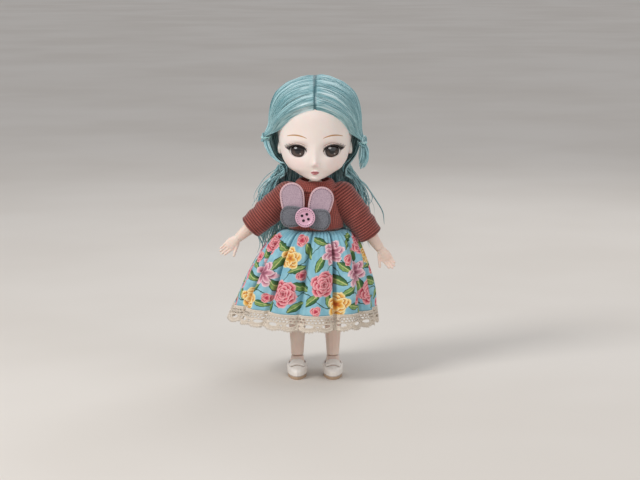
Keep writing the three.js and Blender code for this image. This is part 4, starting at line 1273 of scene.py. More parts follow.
@dataclass
class Head:
    """Face and rear head shells, ears, eyes and lashes.

    Attributes:
        figure: The doll's landmarks.
        form: The head's surface.
        columns: Points round the head.
        rows: Points from the chin to the crown.
        ear_rise: The ears' height above the neck ball.
        ear_x: The ears' distance from the middle.
        cut_depths: Where the eye openings' cutters begin and end, front to back.
        opening: The eye opening.
    """

    figure: Figure
    form: HeadForm
    columns: int = 200
    rows: int = 150
    ear_rise: float = 11.5
    ear_x: float = 18.3
    cut_depths: tuple[float, float] = (-26.0, -9.0)
    opening: EyeOpening = field(default_factory=EyeOpening)

    def build(self) -> None:
        """Builds and dresses the head's pieces."""
        skin = FacePaint(self.figure, self.form.eye_x, self.form.eye_rise).make()
        face, back = self.shells()
        for piece, node in ((face, "head_face_shell"), (back, "head_back_shell")):
            dress(piece, skin, "head", "face", node)
        lash = Plastic("lash_fibre", "1d1310", "2c1e19", 0.55, 0.0).make()
        for side in Side:
            eye = self.eye(side)
            centre = side.value * self.form.eye_x
            glass = EyeGlass(self.figure, centre, self.figure.neck + self.form.eye_rise)
            dress(eye, glass.make(f"eye_glass_{side.word}"), "head", "eye", f"eye_{side.word}")
            dress(self.lashes(side), lash, "head", "lash", f"eyelash_{side.word}")

    def shells(self) -> tuple[Piece, Piece]:
        """The two head shells, with the eye openings cut through the face."""
        share = np.linspace(-1, 1, self.columns, endpoint=False)
        turn = np.pi * (0.62 * share + 0.38 * share**3)
        low, high = self.form.stations[0][0], self.form.stations[-1][0]
        level = np.linspace(0, 1, self.rows)
        rise = low + (high - low) * (0.5 * level + 0.5 * np.sin(level * np.pi / 2))
        grid = self.form.point(turn[None, :], rise[:, None])
        quads, _ = lattice(self.rows, self.columns, True)
        points = np.vstack([grid.reshape(-1, 3), grid[0].mean(0), grid[-1].mean(0)])
        whole = mesh_piece(self.figure, "head_whole", points, quads)
        self.cap(whole)
        carve(whole, [self.eye_cutter(side) for side in Side])
        whole = joined([*(self.ear(side) for side in Side), whole], "head_whole")
        back = twin(whole)
        for piece, name, inner in ((whole, "face_shell", True), (back, "rear_head_shell", False)):
            choose(piece)
            bpy.ops.object.mode_set(mode="EDIT")
            bpy.ops.mesh.select_all(action="SELECT")
            bpy.ops.mesh.bisect(
                plane_co=self.figure.spot(0, 0, 0), plane_no=(0, 1, 0),
                clear_outer=inner, clear_inner=not inner, use_fill=True,
            )
            bpy.ops.object.mode_set(mode="OBJECT")
            settle(piece, name, 32.0)
        return whole, back

    def cap(self, piece: Piece) -> None:
        """Closes the chin and the crown with fans to their middle points."""
        with opened(piece.data) as work:
            work.verts.ensure_lookup_table()
            count = len(work.verts)
            for hub, row, order in ((count - 2, 0, -1), (count - 1, self.rows - 1, 1)):
                for i in range(self.columns):
                    pair = [row * self.columns + i, row * self.columns + (i + 1) % self.columns]
                    work.faces.new([work.verts[k] for k in (*pair[::order], hub)])
            bmesh.ops.recalc_face_normals(work, faces=work.faces)

    def eye_cutter(self, side: Side) -> Piece:
        """A prism of the eye opening that runs into the head."""
        x, z = self.opening.rim(circle(48))
        x = side.value * (self.form.eye_x + x)
        z = self.figure.neck + self.form.eye_rise + z
        points = np.vstack([np.column_stack([x, np.full(len(x), y), z]) for y in self.cut_depths])
        n = len(x)
        faces = [[i, (i + 1) % n, (i + 1) % n + n, i + n] for i in range(n)]
        faces += [list(range(n)), list(range(n, 2 * n))]
        mesh = bpy.data.meshes.new("eye_cutter")
        mesh.from_pydata(self.figure.metres(points).tolist(), [], faces)
        with opened(mesh) as work:
            bmesh.ops.recalc_face_normals(work, faces=work.faces)
        return linked("eye_cutter", mesh)

    def ear(self, side: Side) -> Piece:
        """A small shell-shaped ear, hollowed on its outer face."""
        ear = added(bpy.ops.mesh.primitive_uv_sphere_add, segments=40, ring_count=24, radius=1.0)
        x, y, z = np.array([v.co for v in ear.data.vertices]).T
        rim = np.sqrt((y - 0.1) ** 2 + (z * 0.92 - 0.08) ** 2)
        hollow = 0.85 * np.exp(-((rim / 0.5) ** 2)) * (x > 0)
        taper = 1 - 0.22 * smooth_step(0.0, 1.0, -z)
        shaped = np.column_stack([(x - hollow) * 1.9, y * 2.1 * taper + z * 0.25, z * 3.5])
        shaped = (shaped + [self.ear_x, 1.2, self.figure.neck + self.ear_rise]) * side.mirror
        ear.data.vertices.foreach_set("co", self.figure.metres(shaped).ravel())
        if side is Side.RIGHT:
            ear.data.flip_normals()
        ear.data.polygons.foreach_set("use_smooth", [True] * len(ear.data.polygons))
        return ear

    def eye(self, side: Side) -> Piece:
        """A shallow glassy dome behind the eye opening, turned a little outwards."""
        half_width, half_height, count = 5.5, 4.3, 56
        curve, iris, outwards, behind = 8.5, 3.7, 0.42, 0.32
        grid = np.linspace(-1, 1, count)
        dx, dz = np.meshgrid(grid * half_width, grid * half_height)
        y = self.form.front_y(self.form.eye_x, self.form.eye_rise) + behind
        y = y + outwards * dx + (dx**2 + dz**2) / (2 * curve)
        y = y - 0.35 * np.clip(1 - (dx**2 + dz**2) / iris**2, 0, 1) ** 1.5
        x = side.value * (self.form.eye_x + dx)
        z = self.figure.neck + self.form.eye_rise + dz
        points = np.stack([x, y, z], -1).reshape(-1, 3)
        quads, _ = lattice(count, count, False)
        quads = quads if side is Side.LEFT else quads[:, ::-1]
        return thicken(mesh_piece(self.figure, f"eye_dome_{side.word}", points, quads), 0.8)

    def lashes(self, side: Side) -> Piece:
        """The lash strip along the upper lid, with fine lashes fanning to the outer corner."""
        form, opening = self.form, self.opening

        def on_face(dx: float, dz: float, forward: float) -> list[float]:
            """A point in front of the face, seen from the eye's middle."""
            y = form.front_y(form.eye_x + dx, form.eye_rise + dz) - forward
            return [side.value * (form.eye_x + dx), y, self.figure.neck + form.eye_rise + dz]

        turn = np.radians(np.linspace(2, 178, 40))
        strip = np.array([[on_face(x, z - 0.05, 0.12) for x, z in zip(*opening.rim(turn))]])
        taper = np.sin(turn)[None] ** 0.5
        band = Strands(strip, FRONT, 0.42 * taper + 0.03, 0.34 * taper + 0.03, 8)
        paths, widths = [], []
        steps = np.linspace(0, 1, 7)
        for k, angle in enumerate(np.radians(np.linspace(2, 150, 27))):
            outer = max(math.cos(angle), 0.0)
            length = 1.0 + 1.9 * outer**1.5 + 0.25 * (k % 3)
            root_x, root_z = opening.rim(angle)
            lean = math.cos(angle) * 0.95 + 0.12
            path = []
            for s in steps:
                out = length * s
                dx = root_x + out * lean * 0.85
                dz = root_z + out * (0.35 + 0.35 * s) * (0.75 + 0.25 * math.sin(angle))
                path.append(on_face(dx, dz, 0.25 + 0.75 * math.sin(s * 2.2)))
            paths.append(path)
            widths.append((0.12 + 0.07 * outer) * (1 - steps) ** 0.7 + 0.004)
        paths, widths = np.array(paths), np.array(widths)
        hairs = Strands(paths, (0.0, -1.0, 0.3), widths, widths, 5)
        pieces = [band.piece(self.figure, "strip", 0.03), hairs.piece(self.figure, "hairs", 0.03)]
        return joined(pieces, f"lash_{side.word}")


def dress(
    piece: Piece, material: Material | None, body: str, slot: str, *nodes: str
) -> Piece:
    """Gives a piece its finish, its body and the nodes that it stands for.

    Args:
        piece: The finished piece.
        material: Its finish, or None for a piece that has its own.
        body: The body that it rides on.
        slot: The record's material slot; not used.
        *nodes: The CAD nodes that it replaces.

    Returns:
        The same piece.
    """
    if material:
        piece.data.materials.clear()
        piece.data.materials.append(material)
    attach(piece, body)
    if nodes:
        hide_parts(*nodes)
    log.info("%s on %s, %d faces", piece.name, body, len(piece.data.polygons))
    return piece


def bezier(controls: Sequence[Array], share: Array) -> Array:
    """Points of a Bezier curve of any degree.

    Args:
        controls: The curve's control points.
        share: How far along the curve, from 0 to 1.

    Returns:
        The points, one more axis than share.
    """
    points = [np.asarray(control, float) for control in controls]
    while len(points) > 1:
        points = [a + (b - a) * share[..., None] for a, b in zip(points, points[1:])]
    return points[0]


def sheet_piece(
    figure: Figure, name: str, grid: Array, u: Array, v: Array, wrap: bool = False
) -> Piece:
    """Makes an open sheet from a grid of points.

    Args:
        figure: The doll's landmarks.
        name: The object's name.
        grid: (rows, columns, 3) points in the doll's millimetres.
        u: The columns' u, with one value more than columns when the rows close.
        v: The rows' v.
        wrap: Whether each row closes on itself.

    Returns:
        The new object.
    """
    rows, columns, _ = grid.shape
    quads, corners = lattice(rows, columns, wrap)
    corners = corners.astype(int)
    uv = np.stack([u[corners[..., 0]], v[corners[..., 1]]], -1)
    return mesh_piece(figure, name, grid.reshape(-1, 3), quads, uv)


def drop_faces(piece: Piece, figure: Figure, unwanted: Callable[[Array], Array]) -> None:
    """Removes the faces whose middles, in the doll's millimetres, are unwanted."""
    with opened(piece.data) as work:
        middles = figure.millimetres([face.calc_center_median() for face in work.faces])
        gone = [face for face, bad in zip(work.faces, unwanted(middles)) if bad]
        bmesh.ops.delete(work, geom=gone, context="FACES")


def thicken(piece: Piece, thickness: float, offset: float = -1.0) -> Piece:
    """Gives an open sheet a wall, in millimetres; offset -1 puts it on the inner side, 1 outside."""
    wall = piece.modifiers.new("wall", "SOLIDIFY")
    wall.thickness = thickness * MM
    wall.offset = offset
    return apply_modifiers(piece)


@dataclass
class CrownForm:
    """The combed crown's surface, reached along rays from a point inside the head.

    Attributes:
        stations: Rows of rise above the neck ball, half width, front and back.
        centre: Where the rays start, as x, y and rise.
        farthest: Length at which a ray has surely left the crown.
        halvings: How often the search along a ray halves its step.
    """

    stations: tuple[tuple[float, ...], ...] = (
        (-1.0, 16.4, 3.0, 19.6), (7.0, 21.6, 8.0, 23.0), (16.0, 24.2, 15.4, 24.4), (26.0, 24.1, 20.8, 24.8),
        (34.0, 22.8, 20.9, 24.0), (40.0, 20.2, 19.0, 21.6), (45.0, 14.6, 14.4, 16.0), (48.0, 7.8, 8.0, 9.0),
        (49.0, 3.0, 3.2, 3.6), (49.6, 0.3, 0.3, 0.3),
    )
    centre: tuple[float, float, float] = (0.0, 1.0, 18.0)
    farthest: float = 70.0
    halvings: int = 30

    def reach(self, aim: Array, lift: Array | float = 0.0) -> Array:
        """Where rays from the centre leave the crown.

        Args:
            aim: Points that the rays pass through, as x, y and rise.
            lift: How far off the surface.

        Returns:
            The points, as x, y and rise.
        """
        centre, table = np.array(self.centre), np.array(self.stations)
        rays = unit(aim - centre)
        low, high = np.zeros(rays.shape[:-1]), np.full(rays.shape[:-1], self.farthest)
        for _ in range(self.halvings):
            middle = (low + high) / 2
            at = centre + rays * middle[..., None]
            read = read_table(table, at[..., 2])
            width, front, back = read[..., 0], read[..., 1], read[..., 2]
            far = (at[..., 0] / width) ** 2 + ((at[..., 1] - (back - front) / 2) / ((front + back) / 2)) ** 2
            inside = (far < 1) & (at[..., 2] <= table[-1, 0])
            low, high = np.where(inside, middle, low), np.where(inside, high, middle)
        return centre + rays * (low + lift)[..., None]

    def outward(self, points: Array) -> Array:
        """The direction away from the crown's centre."""
        return unit(points - np.array(self.centre))


@dataclass(frozen=True)
class Tie:
    """Where one side's hair is tied beside the ear, and how its tail falls.

    Attributes:
        side: The side of the head.
        tail: Control points of the tail's middle line, as x, y and rise; the first is the tie.
        spread: How far the tail's locks stand apart.
        locks: How many locks the tail has.
    """

    side: Side
    tail: tuple[tuple[float, float, float], ...]
    spread: float
    locks: int

    @property
    def place(self) -> Array:
        """The tie's middle."""
        return np.array(self.tail[0])


TIES = (
    Tie(Side.LEFT, ((24.9, -1.0, 14.4), (26.6, -2.4, 9.0), (26.0, -3.6, 4.6), (23.8, -4.4, 0.2)), 2.2, 36),
    Tie(
        Side.RIGHT, ((-25.8, -1.0, 17.2), (-26.4, -3.5, 12.0), (-21.8, -8.6, 5.2), (-15.2, -12.2, 4.2)),
        1.0, 20,
    ),
)


@dataclass
class Hair:
    """Rooted hair: a centre-parted crown, two tied locks and the long loose hair behind.

    Attributes:
        figure: The doll's landmarks.
        form: The crown's surface.
        seed: Seed of the scatter.
        grid: Points along the parting and along the hair of a combed sheet.
        fringe_locks: Locks of each side that go on over the nape.
        knot_loops: Loops of each tied lock's knot.
        long_locks: Locks of the long hair.
        strays: Stray hairs of the long hair.
        wisp_locks: Thin locks that stand out at both sides.
        fall: Rows of height and how far behind the axis the long hair lies at least.
    """

    figure: Figure
    form: CrownForm = field(default_factory=CrownForm)
    seed: int = 11
    grid: tuple[int, int] = (310, 76)
    fringe_locks: int = 70
    knot_loops: int = 15
    long_locks: int = 210
    strays: int = 170
    wisp_locks: int = 72
    fall: tuple[tuple[float, float], ...] = (
        (64.0, 25.6), (68.0, 23.8), (73.3, 20.2), (81.3, 16.4), (89.0, 15.2), (100.0, 14.4),
        (105.0, 12.4), (109.7, 10.6), (116.0, 9.0),
    )

    def __post_init__(self) -> None:
        """Starts the random draws and makes the finishes."""
        self.chance = np.random.default_rng(self.seed)
        self.combed = HairFibre("combed_hair", across=85.0, along=0.05, root=2.4).make()
        self.loose = HairFibre("loose_hair", across=7.0, along=0.06).make()
        self.elastic = Plastic("hair_elastic", "a9dedb", "8fc6c6", 0.3, 0.4).make()

    def build(self) -> None:
        """Builds and dresses all the hair."""
        for tie in TIES:
            word = tie.side.word
            dress(self.crown(tie), None, "head", "hair", f"hair_crown_{word}")
            dress(self.tail(tie), self.loose, "head", "hair", f"hair_bunch_{word}")
            dress(self.band(tie), self.elastic, "head", "hair_band", f"hair_band_{word}")
        back = dress(self.long_hair(), self.loose, "neck", "hair", "hair_back")
        back.parent = None
        self.figure.spot(0, 12, 113)
        self.figure.spot(0, 12, 100)
        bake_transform(back)

    def even(self, low: float, high: float, count: int) -> Array:
        """Even chances between two numbers, as a column with one row for each lock."""
        return self.chance.uniform(low, high, count)[:, None]

    def bell(self, middle: float, spread: float, count: int) -> Array:
        """Bell-shaped chances round a number, as a column with one row for each lock."""
        return self.chance.normal(middle, spread, count)[:, None]

    def raised(self, points: Array) -> Array:
        """Points given by their rise, moved up to the head's height."""
        return points + np.array([0.0, 0.0, self.figure.neck])

    def front_comb(self, tie: Tie, q: Array, t: Array) -> Array:
        """Points of the hair combed from the front of the parting to the tie.

        Args:
            tie: The side's tie.
            q: Place along the parting, 0 at the hairline.
            t: Place along the hair, 0 at the root.

        Returns:
            The points on the plain crown, as x, y and rise.
        """
        q, t = np.broadcast_arrays(q, t)
        angle = np.radians(34.5 + 67.5 * q)
        mirror = tie.side.mirror
        aim = np.stack([-0.006 + 0 * q, -np.cos(angle), np.sin(angle)], -1) * mirror
        root = self.form.reach(np.array(self.form.centre) + aim)
        control = (np.array([16.5, -18.5, 28.4]) + q[..., None] * np.array([6.0, 21.0, 18.1])) * mirror
        around = np.pi * (q * 1.15 - 0.1)
        ring = np.stack([0.9 + 0 * q, -1.7 * np.cos(around), 1.3 * np.sin(around)], -1) * mirror
        path = bezier([root, control, tie.place + ring], t)
        free = smooth_step(0.8, 1.0, t)[..., None]
        return self.form.reach(path) * (1 - free) + path * free

    def back_comb(self, side: Side, q: Array, t: Array) -> Array:
        """Points of the hair combed from the back of the parting down to the nape."""
        q, t = np.broadcast_arrays(q, t)
        angle, turn = np.radians(84.0 + 70.0 * q), np.radians(76.0 + 104.0 * q)
        root = np.stack([-0.006 + 0 * q, -np.cos(angle), np.sin(angle)], -1)
        rim = np.stack([16.4 * np.sin(turn), 7.3 - 11.3 * np.cos(turn), -22.0 + 0 * q], -1)
        root, rim = unit(root), unit(rim)
        swing = np.arccos(np.clip((root * rim).sum(-1), -1, 1))[..., None]
        share = t[..., None]
        aim = (np.sin((1 - share) * swing) * root + np.sin(share * swing) * rim) / np.sin(swing)
        aim[..., 1] -= 0.42 * np.sin(np.pi * np.minimum(t / 0.75, 1.0)) * (1 - q) ** 2
        return self.form.reach(np.array(self.form.centre) + aim * side.mirror)

    @staticmethod
    def relief(q: Array, t: Array, phase: float) -> Array:
        """Combed ridges that run along the hair."""
        total = np.zeros(np.broadcast(q, t).shape)
        for waves, size in ((5, 0.3), (11, 0.3), (19, 0.2), (33, 0.13), (58, 0.08)):
            bend = 0.25 * np.sin(2.3 * t + waves)
            total += size * np.cos(TURN * (waves * (q + 0.02 * bend) + phase * waves * 0.37))
        return total * (1 - 0.7 * smooth_step(0.6, 1.0, t)) * smooth_step(0.0, 0.1, t)

    def crown(self, tie: Tie) -> Piece:
        """One half of the crown, with raised locks and a few stray hairs."""
        side, phase = tie.side, 0.3 if tie.side is Side.LEFT else 0.71
        q, t = np.linspace(0, 1, self.grid[0])[None, :], np.linspace(0, 1, self.grid[1])[:, None]
        valley = (0.7 - 0.5 * smooth_step(0.2, 0.6, q)) * (1 - smooth_step(0.0, 0.045, t))
        hairline = -2.9 * (1 - smooth_step(0.0, 0.1, q)) * (1 - smooth_step(0.7, 0.95, t))
        hairline = hairline - 0.8 * smooth_step(0.9, 1.0, q) * (1 - smooth_step(0.3, 0.6, t))
        pieces = []
        for name, points, lift in (
            ("front", self.front_comb(tie, q, t), hairline),
            ("back", self.back_comb(side, q, t), -0.6 - 1.2 * smooth_step(0.8, 1.0, t)),
        ):
            lift = lift + self.relief(q, t, phase) - valley
            grid = self.raised(points + self.form.outward(points) * lift[..., None])
            sheet = sheet_piece(self.figure, name, grid, q[0] + 3 * side.value, t[:, 0] * 52.0)
            sheet.data.materials.append(self.combed)
            pieces.append(sheet)
        comb, nape = partial(self.front_comb, tie), partial(self.back_comb, side)
        sets = ((comb, 74, 0.6, 0.3), (nape, 46, 0.8, 0.1), (comb, 46, 0.055, 1.1), (nape, 24, 0.055, 0.9))
        for locks in [*(self.ribbons(*row) for row in sets), self.fringe(side)]:
            locks.data.materials.append(self.loose)
            pieces.append(locks)
        return joined(pieces, f"combed_crown_{side.word}")

    def fringe(self, side: Side) -> Piece:
        """Locks that carry the back of the crown on over the nape, so that it has no hard rim."""
        count = self.fringe_locks
        q = self.even(0.0, 1.0, count)
        upper = self.back_comb(side, q, np.linspace(0.5, 1.0, 18)[None, :])
        upper = upper + self.form.outward(upper) * 0.25
        s = np.linspace(0.0, 1.0, 18)[None, 1:]
        rim, drop = upper[:, -1:], self.even(6.0, 12.0, count)
        drop = drop * (0.25 + 0.75 * smooth_step(0.35, 0.85, q))
        wide = np.abs(rim[..., 0]) / 17.0
        lower = rim + np.stack([0.22 * rim[..., 0] * s, 3.0 * wide * s, -drop * s], -1)
        paths = np.concatenate([upper, lower], 1)
        along = np.linspace(0.0, 1.0, paths.shape[1])[None, :]
        shape = np.sin(np.pi * (0.03 + 0.94 * along)) ** 0.5
        width = self.even(0.45, 1.0, count) * shape + 0.02
        strands = Strands(self.raised(paths), self.form.outward(paths), width, width * 0.4)
        return strands.piece(self.figure, "fringe")

    def ribbons(
        self, path: Callable[[Array, Array], Array], count: int, width: float, lift: float
    ) -> Piece:
        """Raised locks or stray hairs along a comb direction.

        Args:
            path: Gives points from places along the parting and along the hair.
            count: How many.
            width: Half width of the widest.
            lift: How far the highest stands off the crown.

        Returns:
            One object with them all.
        """
        start, end = self.even(0.015, 0.1, count), self.even(0.7, 0.97, count)
        s = np.linspace(0, 1, 36)[None, :]
        t = start + (end - start) * s
        q = self.even(0.07, 0.97, count)
        sway = 0.012 * np.sin(5 * t + self.even(0, 6, count)) * (lift + 0.6)
        points = path(np.clip(q + sway, 0.02, 0.99), t)
        out = self.form.outward(points)
        high = self.even(0.15, 1.0, count) * lift * np.sin(np.pi * s) ** 0.7
        shape = np.sin(np.pi * s) ** 0.45 * (1 - 0.5 * t) * self.even(0.4, 1.0, count)
        depth = np.minimum(shape * width, 0.16)
        paths = self.raised(points + out * high[..., None])
        strands = Strands(paths, out, shape * width + 0.004, depth + 0.004, 5 if width < 0.1 else 6)
        return strands.piece(self.figure, "locks")

    def tail(self, tie: Tie) -> Piece:
        """The tied lock: a looped knot and the tail that falls from it."""
        chance = self.chance
        s = np.linspace(0, 1, 34)[None, :]
        end = self.even(0.62, 1.0, tie.locks)
        middle = bezier(tie.tail, s * end)
        turn = self.even(0, TURN, tie.locks)
        reach = self.even(0.1, 1.0, tie.locks) * tie.spread
        out = reach * (0.35 + 0.9 * np.sin(np.pi * s * end) ** 0.8)
        wave = 0.35 * np.sin(7 * s * end + turn * 3)
        offset = np.stack([out * np.cos(turn) + wave, out * np.sin(turn) * 0.8, 0 * out], -1)
        paths = middle + offset
        taper = np.sin(np.pi * np.clip(s * 0.93 + 0.07, 0, 1)) ** 0.55
        width = taper * self.even(0.3, 0.62, tie.locks)
        locks = Strands(self.raised(paths), (0.0, -1.0, 0.2), width + 0.01, width * 0.6 + 0.01)
        loops = self.knot_loops
        around = np.linspace(0, TURN, 40)[None, :, None]
        axis = unit(chance.normal(0, 1, (loops, 1, 3)))
        other = unit(np.cross(axis, chance.normal(0, 1, (loops, 1, 3))))
        size = chance.uniform(1.2, 2.2, (loops, 1, 1))
        middles = chance.normal(0, 0.5, (loops, 1, 3)) * np.array([1.0, 1.0, 1.9])
        knot = tie.place + middles + size * (axis * np.cos(around) + other * np.sin(around))
        thick = chance.uniform(0.3, 0.52, (loops, 1)) + 0 * around[..., 0]
        coils = Strands(self.raised(knot), unit(knot - tie.place), thick, thick * 0.8)
        pieces = [strands.piece(self.figure, "locks") for strands in (locks, coils)]
        return joined(pieces, f"tied_lock_{tie.side.word}")

    def band(self, tie: Tie) -> Piece:
        """The thin elastic round the tie."""
        ring = added(
            bpy.ops.mesh.primitive_torus_add,
            major_radius=2.35 * MM, minor_radius=0.34 * MM, major_segments=48, minor_segments=12,
            location=self.figure.spot(*self.raised(tie.place)), rotation=(0.18, 0.1 * tie.side.value, 0.0),
        )
        return settle(ring, f"elastic_{tie.side.word}", 60.0)

    def rim_roots(self, turn: Array, rise: Array, lift: float) -> Array:
        """Roots under the crown's rim, at angles round the head with 0 at the front."""
        aim = np.stack([15.8 * np.sin(turn), 8.0 - 10.2 * np.cos(turn), rise], -1)
        return self.raised(self.form.reach(aim, lift))

    def long_hair(self) -> Piece:
        """Loose wavy locks from under the crown's rim to the small of the back."""
        chance, count = self.chance, self.long_locks
        fall = partial(np.interp, xp=[z for z, _ in self.fall], fp=[y for _, y in self.fall])
        turn = np.radians(np.linspace(86, 274, count) + chance.uniform(-1.5, 1.5, count))[:, None]
        layer = self.even(0.0, 1.0, count)
        root_x, root_y, root_z = np.moveaxis(self.rim_roots(turn, 3.0 - 5.0 * layer, -1.8), -1, 0)
        s = np.linspace(0, 1, 40)[None, :]
        side_share = np.sin(turn)
        reach = np.where(side_share > 0, 24.0, 27.0)
        tip_x = side_share * reach * (0.8 + 0.3 * layer) + self.bell(0, 1.4, count)
        tip_z = 63.0 + 9.0 * side_share**2 * self.even(0, 1, count)
        tip_z = tip_z + self.bell(0, 3.2, count)
        z = root_z + (tip_z - root_z) * s
        phase = 4.0 * turn + self.bell(0, 0.5, count)
        length = 21.0 + 3.0 * np.sin(2 * turn) + self.bell(0, 1.0, count)
        angle = TURN * (root_z - z) / length + phase
        wave = 1.3 * smooth_step(0.12, 0.75, s) * np.sin(angle)
        x = root_x + (tip_x - root_x) * smooth_step(-0.3, 0.5, s) + wave
        behind = fall(z) + 4.2 * layer * (1 - 0.35 * np.abs(side_share))
        y = root_y + (behind - root_y) * smooth_step(0.0, 0.2, s)
        y = y + 0.6 * smooth_step(0.2, 0.8, s) * (1 + np.cos(angle))
        paths = np.stack([x, y, z], -1)
        shape = (1 - s**3) ** 0.6 * (0.75 + 0.25 * np.sin(np.pi * s))
        width = self.even(0.4, 1.0, count) * shape
        facing = unit(np.stack([0.25 * x / 20, 1 + 0 * x, 0 * x], -1))
        locks = Strands(paths, facing, width + 0.02, width * 0.42 + 0.02)
        stray = chance.integers(0, count, self.strays)
        shift = chance.normal(0, 1.6, (self.strays, 1, 2))
        paths = paths[stray] + np.pad(shift, ((0, 0), (0, 0), (0, 1))) * smooth_step(0.0, 0.6, s)[..., None]
        paths[..., 1] = np.maximum(paths[..., 1], fall(paths[..., 2]) - 0.4)
        thin = 0.07 * (1 - s**4) + 0.01 + 0 * paths[..., 0]
        strays = Strands(paths, facing[stray], thin, thin, 4)
        pieces = [locks.piece(self.figure, "locks"), strays.piece(self.figure, "strays"), self.wisps()]
        return joined(pieces, "long_hair")

    def wisps(self) -> Piece:
        """Thin loose locks that stand out beside the face and over the shoulders."""
        chance, count = self.chance, self.wisp_locks
        side = np.where(chance.uniform(0, 1, count) < 0.62, -1.0, 1.0)
        turn = side * np.radians(chance.uniform(80, 118, count))
        root = self.rim_roots(turn, chance.uniform(-3, 2, count), -1.2)
        wide, behind = chance.uniform(23, 31, count), chance.uniform(9.5, 15.0, count)
        tip_z = chance.uniform(66, 96, count)
        shoulder = np.stack([side * wide, behind - 2.0, root[:, 2] - chance.uniform(4, 10, count)], -1)
        low_x = side * (wide + chance.normal(0, 2.5, count))
        low = np.stack([low_x, behind, (root[:, 2] + 2 * tip_z) / 3], -1)
        tip = np.stack([side * (wide + chance.normal(-1.0, 3.5, count)), behind + 2.0, tip_z], -1)
        s = np.linspace(0, 1, 40)[None, :]
        paths = bezier([point[:, None] for point in (root, shoulder, low, tip)], s)
        curl = self.even(0, 6, count)
        paths[..., 0] += 1.1 * smooth_step(0.3, 1.0, s) * np.sin(9 * s + curl)
        width = self.even(0.1, 0.42, count) * np.sin(np.pi * (0.12 + 0.88 * s)) ** 0.6 + 0.02
        return Strands(paths, (0.0, -1.0, 0.1), width, width * 0.5, 5).piece(self.figure, "wisps")


